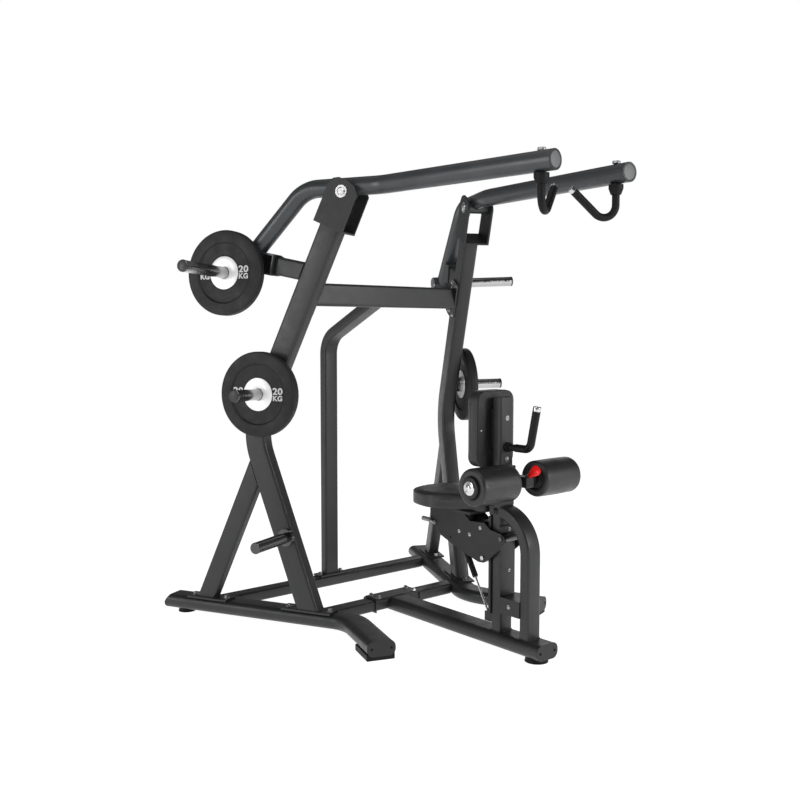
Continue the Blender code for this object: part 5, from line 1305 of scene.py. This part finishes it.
# ----------------------------------------------------------------------------
# Handles: rubber grip and chrome tip on the swinging bars and the chest handle
# ----------------------------------------------------------------------------
def along(points, d0, d1):
    """The part of a polyline between two distances from its far end, d1 nearest the end."""
    pts = [Vector(p) for p in points][::-1]
    outp, run = [], 0.0
    for a, b in zip(pts, pts[1:]):
        seg = (b - a).length
        for want in (d1, d0):
            pass
        if run + seg >= d1 and not outp:
            outp.append(a + (b - a) * max(0.0, (d1 - run)) / seg)
        if outp and run + seg > d1 and run + seg < d0:
            outp.append(b)
        if run + seg >= d0:
            outp.append(a + (b - a) * (d0 - run) / seg)
            break
        run += seg
    return outp


for side, word in SIDES:
    inward = -side_axes(side)[1]
    stem = Vector((side * 0.2144, -1.0358 + Y0, 0))
    line = [stem + inward * p.x + Vector((0, 0, p.y)) for p in pts_of_handle]
    d_end = (line[-1] - line[-2]).normalized()
    grip = round_tube(along(line, 0.150, 0.016), 0.0153, sides=5)
    dress(grip, word + "_handle_grip", "grip_rubber", word + "_handle")
    tip_at = line[-1]
    head_cap = turned([(0.0, 0.0104), (0.0136, 0.0104), (0.0152, 0.0096), (0.0157, 0.0080), (0.0157, 0.0004), (0.0, 0.0004)],
                      Matrix.Translation((stem.x, stem.y, ARM_Z + ARM_R + 0.0008)), 24)
    dress(head_cap, word + "_swivel_head", "satin_steel", word + "_handle")
    cap_tip = turned([(0.0, 0.0026), (0.0110, 0.0022), (0.0140, 0.0006), (0.0151, -0.0014), (0.0151, -0.0165), (0.0, -0.0165)], axis_matrix(tip_at, d_end), 24)
    dress(cap_tip, word + "_handle_tip", "chrome", word + "_handle")
    for k in range(9):
        q = tip_at - d_end * (0.034 + 0.0105 * k)
        rib = turned([(0.0150, 0.0016), (0.0155, 0.0010), (0.0157, 0.0), (0.0155, -0.0010), (0.0150, -0.0016), (0.0140, -0.0016), (0.0140, 0.0016), (0.0150, 0.0016)], axis_matrix(q, d_end), 16)
        dress(rib, f"{word}_grip_rib_{k}", "grip_rubber", word + "_handle")

line = [Vector((0, p[1] + Y0, p[2])) for p in handle_pts]
d_end = (line[-1] - line[-2]).normalized()
grip = round_tube(along(line, 0.245, 0.018), 0.0164, sides=5)
dress(grip, "chest_handle_grip", "grip_rubber", "frame")
cap_tip = turned([(0.0, 0.0006), (0.0130, 0.0004), (0.0152, -0.0010), (0.0162, -0.0030), (0.0162, -0.0195), (0.0154, -0.0205), (0.0, -0.0205)], axis_matrix(line[-1], d_end), 24)
dress(cap_tip, "chest_handle_cap", "chrome", "frame")
root_ring = turned([(0.0145, 0.004), (0.0190, 0.004), (0.0205, 0.0026), (0.0205, 0.0), (0.0145, 0.0), (0.0145, 0.004)],
                   axis_matrix((0, CH_F - 0.0122 + Y0, 0.847), (0, -1, 0)), 24)
dress(root_ring, "chest_handle_ring", "black_rubber", "frame")

# arm ends: a pale disc inside a dark moulded rim
for side, word in SIDES:
    tip = Vector((side * ARM_TIP[0], ARM_TIP[1] + Y0, ARM_Z))
    bend_2 = at(side, 0.0800, PIVOT_N, ARM_Z)
    d = (tip - bend_2).normalized()
    rim = turned([(0.0300, 0.0012), (0.0345, 0.0022), (0.0372, 0.0014), (0.0384, -0.0010), (0.0384, -0.0035), (0.0300, -0.0035), (0.0300, 0.0012)], axis_matrix(tip, d), 32)
    dress(rim, word + "_arm_rim", "bracket_paint", word + "_arm")
    disc = turned([(0.0, 0.0008), (0.0290, 0.0008), (0.0305, 0.0002), (0.0305, -0.0040), (0.0, -0.0040)], axis_matrix(tip, d), 32)
    dress(disc, word + "_arm_disc", "grey_cap", word + "_arm")

# skid and centre cap screws, set back in their holes
for c0, d in [(Vector((side * 0.4773, -0.4471 + Y0, BASE_ZC)),
               (Vector((side * 0.4773, -0.4471, 0)) - (side_axes(side)[0] * -0.0751 + side_axes(side)[1] * SKID_N)).normalized()) for side in (-1, 1)] + \
             [(Vector((0, BASE_FRONT_Y + Y0, BASE_ZC)), Vector((0, -1, 0)))]:
    for off in (-0.042, 0.042):
        p = c0 + Vector((-d.y, d.x, 0)) * off - d * 0.0036
        screw = turned([(0.0, 0.0006), (0.0026, 0.0006), (0.0044, 0.0), (0.0044, -0.002), (0.0, -0.002)], axis_matrix(p, d), 16)
        dress(screw, f"cap_screw_{len(PARTS.objects)}", "board", "frame")
        rim = turned([(0.0046, 0.0005), (0.0062, 0.0005), (0.0068, 0.0), (0.0068, -0.0012), (0.0046, -0.0012), (0.0046, 0.0005)], axis_matrix(p + d * 0.0037, d), 20)
        dress(rim, f"cap_screw_rim_{len(PARTS.objects)}", "board", "frame")

# pull pin: chrome neck behind the knob
neck = turned([(0.0088, 0.0033), (0.0098, 0.0027), (0.0100, 0.0), (0.0060, 0.0), (0.0060, 0.0033), (0.0088, 0.0033)], axis_matrix(PIN_C + PIN_DIR * 0.0042, PIN_DIR), 24)
dress(neck, "pull_pin_collar", "chrome", "roller_bracket")

# sleeve over the end of the seat's release lever
grip_a, grip_b = Vector((-0.0670, LEVER_Y + 0.0300 + Y0, 0.4948)), Vector((-0.0670, LEVER_Y + 0.0692 + Y0, 0.4959))
reach = (grip_b - grip_a).length
sleeve_tip = turned([(0.0, reach), (0.0088, reach), (0.0102, reach - 0.0014), (0.0102, 0.0012), (0.0092, 0.0), (0.0, 0.0)], axis_matrix(grip_a, (grip_b - grip_a).normalized()), 24)
dress(sleeve_tip, "release_lever_sleeve", "satin_steel", "seat_release_lever")

# gas spring: rod wiper
wiper = turned([(0.0050, 0.003), (0.0092, 0.003), (0.0100, 0.002), (0.0100, 0.0), (0.0050, 0.0), (0.0050, 0.003)], axis_matrix(top + gs_dir * 0.1902, gs_dir), 16)
dress(wiper, "gas_spring_wiper", "zinc_steel", "gas_spring_cylinder")

# ----------------------------------------------------------------------------
# Upholstery
# ----------------------------------------------------------------------------
def inflate(obj, pinned, pressure, cap, limits):
    """Fill the cover by cloth simulation, then limit how far each point has moved."""
    rest = [v.co.copy() for v in obj.data.vertices]
    group = obj.vertex_groups.new(name="held")
    held = [i for i, c in enumerate(rest) if pinned(c)]
    group.add(held, 1.0, "REPLACE")
    cloth = obj.modifiers.new("fill", "CLOTH")
    cs = cloth.settings
    cs.quality = 6
    cs.mass = 0.25
    cs.tension_stiffness = 12.0
    cs.compression_stiffness = 12.0
    cs.shear_stiffness = 5.0
    cs.bending_stiffness = 0.6
    cs.use_pressure = True
    cs.uniform_pressure_force = pressure
    cs.vertex_group_mass = "held"
    cs.effector_weights.gravity = 0.0
    cs.shrink_min = 0.0
    cloth.point_cache.frame_start = 1
    cloth.point_cache.frame_end = 20
    for f in range(1, 21):
        bpy.context.scene.frame_set(f)
    graph = bpy.context.evaluated_depsgraph_get()
    shape = obj.evaluated_get(graph).to_mesh()
    moved = [v.co.copy() for v in shape.vertices]
    obj.evaluated_get(graph).to_mesh_clear()
    obj.modifiers.clear()
    bpy.context.scene.frame_set(1)
    lo, hi = limits
    for v, a, b in zip(obj.data.vertices, rest, moved):
        d = b - a
        if d.length > cap:
            d *= cap / d.length
        p = a + d
        v.co = Vector((min(max(p.x, lo.x), hi.x), min(max(p.y, lo.y), hi.y), min(max(p.z, lo.z), hi.z)))
    return obj


def remeshed(obj, voxel):
    baked(obj)
    obj.data.transform(obj.matrix_world)
    obj.matrix_world = Matrix.Identity(4)
    m = obj.modifiers.new("even", "REMESH")
    m.mode = "VOXEL"
    m.voxel_size = voxel
    return baked(obj)


def relaxed(obj, rounds=6):
    m = obj.modifiers.new("relax", "SMOOTH")
    m.factor = 0.5
    m.iterations = rounds
    return baked(obj)


def inside_distance(p, outline):
    """Distance from a point to the nearest side of an outline."""
    best = 9.0
    for a, b in zip(outline, outline[1:] + outline[:1]):
        ab = b - a
        t = max(0.0, min(1.0, (p - a).dot(ab) / max(ab.length_squared, 1e-12)))
        best = min(best, (p - a - ab * t).length)
    return best


def smooth_outline(points, rounds=3):
    """Corner-cut the outline until it runs smoothly."""
    pts = [Vector(p) for p in points]
    for _ in range(rounds):
        nxt = []
        for a, b in zip(pts, pts[1:] + pts[:1]):
            nxt += [a * 0.75 + b * 0.25, a * 0.25 + b * 0.75]
        pts = nxt
    return pts


def inset_outline(points, distance):
    """Every point moved square to the outline, inwards for an anticlockwise one."""
    n = len(points)
    outp = []
    area = sum(points[i].x * points[(i + 1) % n].y - points[(i + 1) % n].x * points[i].y for i in range(n))
    sign = 1 if area > 0 else -1
    for i in range(n):
        d = (points[(i + 1) % n] - points[i - 1]).normalized()
        outp.append(points[i] + Vector((-d.y, d.x)) * sign * distance)
    return outp


def cord_round(points, radius, name, look, body):
    """Piping: a thin round welt along a closed line."""
    path = poly_curve(name, [tuple(p) for p in points], True, "3D")
    path.data.bevel_depth = radius
    path.data.bevel_resolution = 3
    bpy.context.view_layer.update()
    made = meshed(path)
    return dress(made, name, look, body, 70)


def stitches(points, pitch, length, radius, normal_of, name, body):
    """One mesh of short threads set along a closed line, each dipping into the cover at its ends."""
    bm = bmesh.new()
    n = len(points)
    lengths = [(points[(i + 1) % n] - points[i]).length for i in range(n)]
    total = sum(lengths)
    count = int(total / pitch)
    step = total / count
    i, run = 0, 0.0
    for k in range(count):
        want = k * step
        while run + lengths[i] < want:
            run += lengths[i]
            i = (i + 1) % n
        p = points[i] + (points[(i + 1) % n] - points[i]) * ((want - run) / lengths[i])
        d = (points[(i + 1) % n] - points[i]).normalized()
        up = normal_of(p)
        side_v = d.cross(up).normalized()
        rings = []
        for q, lift in ((-0.5, -0.5), (-0.28, 0.55), (0.0, 0.9), (0.28, 0.55), (0.5, -0.5)):
            c = p + d * q * length + up * lift * radius
            rings.append([bm.verts.new(c + (side_v * math.cos(a) + up * math.sin(a)) * radius) for a in (0, math.tau / 5, 2 * math.tau / 5, 3 * math.tau / 5, 4 * math.tau / 5)])
        for a, b in zip(rings, rings[1:]):
            for e in range(5):
                bm.faces.new((a[e], a[(e + 1) % 5], b[(e + 1) % 5], b[e]))
        bm.faces.new(rings[0][::-1])
        bm.faces.new(rings[-1])
    bmesh.ops.recalc_face_normals(bm, faces=bm.faces[:])
    return dress(new_mesh_object(name, bm), name, "thread", body, 60)


def padded_block(line, levels, place):
    """Closed block from an outline: each level is an inset and a height; place carries (x, y, height) to the world."""
    bm = bmesh.new()
    rings = []
    for inset, h in levels:
        ring = inset_outline(line, inset) if inset else line
        rings.append([bm.verts.new(place(q.x, q.y, h)) for q in ring])
    for low, high in zip(rings, rings[1:]):
        n = len(low)
        for i in range(n):
            j = (i + 1) % n
            bm.faces.new((low[i], low[j], high[j], high[i]))
    for ring in (rings[0], rings[-1]):
        bmesh.ops.triangulate(bm, faces=[bm.faces.new(ring)])
    bmesh.ops.recalc_face_normals(bm, faces=bm.faces[:])
    return new_mesh_object("block", bm)


def rounded_levels(base, side_top, radius, steps=6):
    """Straight side, then a quarter-round edge."""
    levels = [(0.0022, base), (0.0006, base + 0.0012), (0.0, base + 0.0035), (0.0, side_top)]
    for i in range(1, steps + 1):
        a = math.radians(90 * i / steps)
        levels.append((radius * (1 - math.cos(a)), side_top + radius * math.sin(a)))
    return levels


# --- seat pad: ply board below, foam block with a crowned top and a welt round its top edge ---
seat_line = smooth_outline([Vector(p) for p in seat_outline], 3)
SEAT_EDGE, SEAT_TOP = 0.6265, 0.6335
board = outline_plate([tuple(p) for p in inset_outline(seat_line, 0.010)], 0.0090, Matrix.Translation((0, Y0, SEAT_Z0 + 0.0048)), 0.0015)
dress(board, "seat_board", "board", "seat_carriage")
core = padded_block(seat_line, rounded_levels(SEAT_Z0 + 0.0012, SEAT_EDGE, 0.0070), lambda x, y, h: (x, y + Y0, h))
remeshed(core, 0.0038)
for v in core.data.vertices:
    if v.co.z > SEAT_TOP - 0.0040:
        d = inside_distance(Vector((v.co.x, v.co.y - Y0)), seat_line[::3])
        v.co.z += 0.0092 * min(1.0, d / 0.110) ** 0.85 + 0.0003 * noise.noise(v.co * 26)
relaxed(core, 2)
box_lo = Vector((-0.1660, -0.607 + Y0, SEAT_Z0 + 0.0006))
box_hi = Vector((0.1660, -0.186 + Y0, 0.6475))
inflate(core, lambda c: c.z < SEAT_Z0 + 0.034, 1.6, 0.0022, (box_lo, box_hi))
relaxed(core, 4)
sub = core.modifiers.new("fine", "SUBSURF")
sub.levels = sub.render_levels = 1
dress(core, "seat_cushion", "black_vinyl", "seat_carriage", 80)
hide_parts("seat_pad")
stitch_line = [Vector((p.x, p.y + Y0, SEAT_EDGE - 0.0040)) for p in seat_line]
SEAT_TREE = BVHTree.FromObject(core, bpy.context.evaluated_depsgraph_get())


def on_cover(points, tree, lift):
    """Points drawn out to the cover's surface."""
    outp = []
    for p in points:
        hit, normal, _, _ = tree.find_nearest(p)
        outp.append(hit + normal * lift)
    return outp


def cover_normal(tree):
    return lambda p: tree.find_nearest(p)[1]


seam = on_cover([Vector((p.x, p.y + Y0, SEAT_EDGE + 0.0015)) for p in seat_line], SEAT_TREE, 0.0002)
cord_round(seam, 0.0013, "seat_seam", "vinyl_side", "seat_carriage")
for k, dz in enumerate((-0.0055,)):
    run = on_cover([Vector((p.x, p.y + Y0, SEAT_EDGE + 0.0015 + dz)) for p in seat_line], SEAT_TREE, 0.0001)
    stitches(run, 0.0062, 0.0042, 0.00045, cover_normal(SEAT_TREE), f"seat_stitches_{k}", "seat_carriage")

# --- chest pad: board, deep rounded cushion and a row of stitches round it ---
PAD_ZC = 0.918
chest_line = [Vector(p) for p in rounded_outline(0.209, 0.316, 0.044, 10)]
to_pad = axis_matrix((0, 0, 0), (0, 1, 0))


def pad_point(p, depth):
    q = to_pad @ Vector((p.x, p.y, 0))
    return Vector((q.x, PAD_Y0 + depth + Y0, PAD_ZC + q.z))


PAD_FACE = PAD_Y0 + 0.072
pad_place = lambda x, y, h: pad_point(Vector((x, y)), h)
rear_half = padded_block(chest_line, [(0.0050, 0.0002), (0.0028, 0.0005), (0.0016, 0.0014), (0.0012, 0.0030), (0.0014, 0.0056), (0.0030, 0.0064)], pad_place)
dress(rear_half, "chest_pad_back", "vinyl_side", "frame", 60)
core = padded_block(chest_line, [(0.0026, 0.0066), (0.0006, 0.0074), (0.0, 0.0092), (0.0, 0.0570)] +
                    [(0.0110 * (1 - math.cos(math.radians(15 * i))), 0.0570 + 0.0110 * math.sin(math.radians(15 * i))) for i in range(1, 7)], pad_place)
remeshed(core, 0.0038)
for v in core.data.vertices:
    if v.co.y > PAD_Y0 + 0.063 + Y0:
        q = Vector((v.co.x, v.co.z - PAD_ZC))
        d = inside_distance(q, chest_line[::2])
        v.co.y += 0.0045 * min(1.0, d / 0.060) ** 0.8
relaxed(core, 2)
inflate(core, lambda c: c.y < PAD_Y0 + 0.036 + Y0, 1.6, 0.0022,
        (Vector((-0.1065, PAD_Y0 + 0.0062 + Y0, PAD_ZC - 0.160)), Vector((0.1065, PAD_FACE + 0.002 + Y0, PAD_ZC + 0.160))))
relaxed(core, 2)
sub = core.modifiers.new("fine", "SUBSURF")
sub.levels = sub.render_levels = 1
dress(core, "chest_cushion", "black_vinyl", "frame", 80)
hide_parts("chest_pad")
PAD_TREE = BVHTree.FromObject(core, bpy.context.evaluated_depsgraph_get())
run = on_cover([pad_point(p, 0.0150) for p in chest_line], PAD_TREE, 0.0001)
stitches(run, 0.0062, 0.0042, 0.00045, cover_normal(PAD_TREE), "chest_stitches", "frame")
for x in (-0.0865, 0.0865):
    bolt((x, PAD_Y0 + 0.0002 + Y0, 0.914), (0, -1, 0), 0.0032, group="pad_screw")

# --- thigh rollers: foam under vinyl, with dark hubs and a chrome cap outside ---
for side, word in SIDES:
    body = word + "_thigh_roller"
    m = axis_matrix((side * ROLL_IN, ROLL_Y + Y0, ROLL_Z), (side, 0, 0))
    L = ROLL_OUT - ROLL_IN
    profile = [(0.0400, L - 0.0085), (0.0430, L - 0.0040), (0.0500, L - 0.0010), (0.0600, L - 0.0010)]
    profile += [(ROLL_R - 0.0145 + 0.0140 * math.sin(a), L - 0.0150 + 0.0140 * math.cos(a)) for a in (math.radians(x) for x in range(10, 91, 10))]
    for k in range(1, 24):
        t = k / 24
        profile.append((ROLL_R - 0.0005 + 0.0008 * math.sin(math.pi * t), L - 0.0150 - (L - 0.0300) * t))
    profile += [(ROLL_R - 0.0145 + 0.0140 * math.cos(a), 0.0150 - 0.0140 * math.sin(a)) for a in (math.radians(x) for x in range(0, 81, 10))]
    profile += [(0.0600, 0.0010), (0.0500, 0.0010), (0.0430, 0.0040), (0.0400, 0.0085), (0.0400, L - 0.0085)]
    roll = baked(turned(profile, m, 32))
    roll.data.transform(roll.matrix_world)
    roll.matrix_world = Matrix.Identity(4)
    axis_x = Vector((side, 0, 0))
    for v in roll.data.vertices:
        q = Vector((0, v.co.y - (ROLL_Y + Y0), v.co.z - ROLL_Z))
        if q.length > 0.055:
            puff = 0.0007 * noise.noise(v.co * 14 + Vector((side * 5, 0, 0))) + 0.0003 * noise.noise(v.co * 45)
            v.co += q.normalized() * puff
    # a sewn seam down the back of the cover
    for v in roll.data.vertices:
        q = Vector((0, v.co.y - (ROLL_Y + Y0), v.co.z - ROLL_Z))
        ang = math.atan2(q.z, q.y)
        near = abs(ang - math.radians(-35))
        if q.length > 0.060 and near < 0.10:
            v.co -= q.normalized() * 0.0011 * (1 - near / 0.10)
    dress(roll, word + "_roller_cover", "black_vinyl", body, 70)
    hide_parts(body)
    boss = turned([(0.0132, L + 0.0088), (0.0385, L + 0.0088), (0.0412, L + 0.0078), (0.0424, L + 0.0055), (0.0428, L - 0.0060), (0.0132, L - 0.0060), (0.0132, L + 0.0088)], m, 32)
    dress(boss, word + "_roller_boss", "dark_cap", body)
    for tag, h, flip in (("inner", 0.0060, -1),):
        hub = turned([(0.0132, 0.0), (0.0380, 0.0), (0.0405, -0.0016), (0.0408, -0.0060), (0.0132, -0.0060), (0.0132, 0.0)],
                     axis_matrix(m @ Vector((0, 0, h)), axis_x * flip), 32)
        dress(hub, f"{word}_roller_{tag}_hub", "dark_cap", body)
        step_ring = turned([(0.0140, 0.0022), (0.0270, 0.0022), (0.0290, 0.0008), (0.0290, -0.001), (0.0140, -0.001), (0.0140, 0.0022)],
                           axis_matrix(m @ Vector((0, 0, h)), axis_x * flip), 32)
        dress(step_ring, f"{word}_roller_{tag}_step", "dark_cap", body)
    # chrome cap nut on the end of the axle
    cap_nut = turned([(0.0, 0.0088), (0.0050, 0.0086), (0.0090, 0.0078), (0.0125, 0.0060), (0.0150, 0.0038), (0.0160, 0.0034), (0.0235, 0.0032), (0.0268, 0.0024), (0.0285, 0.0008), (0.0285, -0.0002), (0.0128, -0.0002), (0.0128, 0.0036), (0.0, 0.0036)],
                     axis_matrix((side * (ROLL_OUT + 0.0094), ROLL_Y + Y0, ROLL_Z), axis_x), 32)
    dress(cap_nut, word + "_roller_cap_nut", "chrome", "roller_bracket")
sweep_up()


# ----------------------------------------------------------------------------
# Floor, light and camera
# ----------------------------------------------------------------------------
bm = bmesh.new()
bmesh.ops.create_grid(bm, x_segments=1, y_segments=1, size=40.0)
floor_mesh = bpy.data.meshes.new("studio_floor")
bm.to_mesh(floor_mesh)
bm.free()
floor = bpy.data.objects.new("studio_floor", floor_mesh)
floor.location = (0, 0, -0.0005)
bpy.context.scene.collection.objects.link(floor)
floor_look = bpy.data.materials.new("studio_floor")
floor_look.use_nodes = True
shader = floor_look.node_tree.nodes["Principled BSDF"]
shader.inputs["Base Color"].default_value = (0.50, 0.50, 0.50, 1)
shader.inputs["Roughness"].default_value = 0.9
shader.inputs["Specular IOR Level"].default_value = 0.1
shader.inputs["Emission Color"].default_value = (1, 1, 1, 1)
shader.inputs["Emission Strength"].default_value = 0.95
floor_mesh.materials.append(floor_look)

world = bpy.data.worlds.new("studio") if not bpy.context.scene.world else bpy.context.scene.world
bpy.context.scene.world = world
world.use_nodes = True
wt = world.node_tree
back = wt.nodes["Background"]
back.inputs["Strength"].default_value = 1.0
# the room is dark in front of the machine and bright beside, behind and above it
direction = wt.nodes.new("ShaderNodeTexCoord")
aim = wt.nodes.new("ShaderNodeVectorMath")
aim.operation = "DOT_PRODUCT"
aim.inputs[1].default_value = (-0.62, -0.76, -0.05)
wt.links.new(direction.outputs["Generated"], aim.inputs[0])
ramp = wt.nodes.new("ShaderNodeValToRGB")
ramp.color_ramp.elements[0].position = 0.0
ramp.color_ramp.elements[0].color = (0.20, 0.20, 0.20, 1)
ramp.color_ramp.elements[1].position = 1.0
ramp.color_ramp.elements[1].color = (0.085, 0.086, 0.088, 1)
for place, value in ((0.22, 0.26), (0.42, 0.46), (0.55, 0.30), (0.72, 0.12)):
    step = ramp.color_ramp.elements.new(place)
    step.color = (value, value, value, 1)
half = wt.nodes.new("ShaderNodeMapRange")
half.inputs["From Min"].default_value = -1.0
half.inputs["From Max"].default_value = 1.0
wt.links.new(aim.outputs["Value"], half.inputs["Value"])
wt.links.new(half.outputs["Result"], ramp.inputs["Fac"])
# and its ceiling is dim, so that upward faces stay dark
height = wt.nodes.new("ShaderNodeSeparateXYZ")
wt.links.new(direction.outputs["Generated"], height.inputs["Vector"])
ceiling = wt.nodes.new("ShaderNodeMapRange")
ceiling.inputs["From Min"].default_value = 0.15
ceiling.inputs["From Max"].default_value = 0.80
ceiling.inputs["To Min"].default_value = 1.0
ceiling.inputs["To Max"].default_value = 0.22
wt.links.new(height.outputs["Z"], ceiling.inputs["Value"])
dim = wt.nodes.new("ShaderNodeVectorMath")
dim.operation = "SCALE"
wt.links.new(ramp.outputs["Color"], dim.inputs[0])
wt.links.new(ceiling.outputs["Result"], dim.inputs["Scale"])
wt.links.new(dim.outputs["Vector"], back.inputs["Color"])
# what the camera sees behind the machine is plain white
paper = wt.nodes.new("ShaderNodeBackground")
paper.inputs["Color"].default_value = (1.0, 1.0, 1.0, 1)
paper.inputs["Strength"].default_value = 1.0
rays = wt.nodes.new("ShaderNodeLightPath")
pick = wt.nodes.new("ShaderNodeMixShader")
wt.links.new(rays.outputs["Is Camera Ray"], pick.inputs["Fac"])
wt.links.new(back.outputs["Background"], pick.inputs[1])
wt.links.new(paper.outputs["Background"], pick.inputs[2])
wt.links.new(pick.outputs["Shader"], wt.nodes["World Output"].inputs["Surface"])


def softbox(name, location, target, size, size_y, power):
    data = bpy.data.lights.new(name, "AREA")
    data.shape = "RECTANGLE"
    data.size, data.size_y = size, size_y
    data.energy = power
    lamp = bpy.data.objects.new(name, data)
    lamp.matrix_world = Matrix.Translation(location) @ (Vector(location) - Vector(target)).to_track_quat("Z", "Y").to_matrix().to_4x4()
    bpy.context.scene.collection.objects.link(lamp)
    return lamp


softbox("key", (2.0, -5.4, 2.2), (0, 0, 1.0), 2.6, 2.0, 150)
softbox("side", (-5.6, 1.3, 2.1), (0, 0, 1.0), 2.0, 3.0, 84)
softbox("top", (0.2, 0.6, 5.2), (0, 0, 1.0), 3.2, 3.2, 10)
softbox("arms", (-1.2, -1.1, 3.1), (-0.1, -0.5, 1.9), 1.6, 1.6, 20)
softbox("rim", (4.5, 3.4, 2.8), (0, 0, 1.2), 2.6, 2.6, 22)

camera_data = bpy.data.cameras.new("camera")
camera_data.sensor_width = 36.0
camera_data.lens = 43.095
camera = bpy.data.objects.new("camera", camera_data)
camera.location = (-2.83550, -3.37052 + Y0, 1.32066)
camera.rotation_euler = (math.radians(90 - 4.1373), 0.0, math.radians(-40.0187))
camera_data.clip_end = 200.0
bpy.context.scene.collection.objects.link(camera)
bpy.context.scene.camera = camera
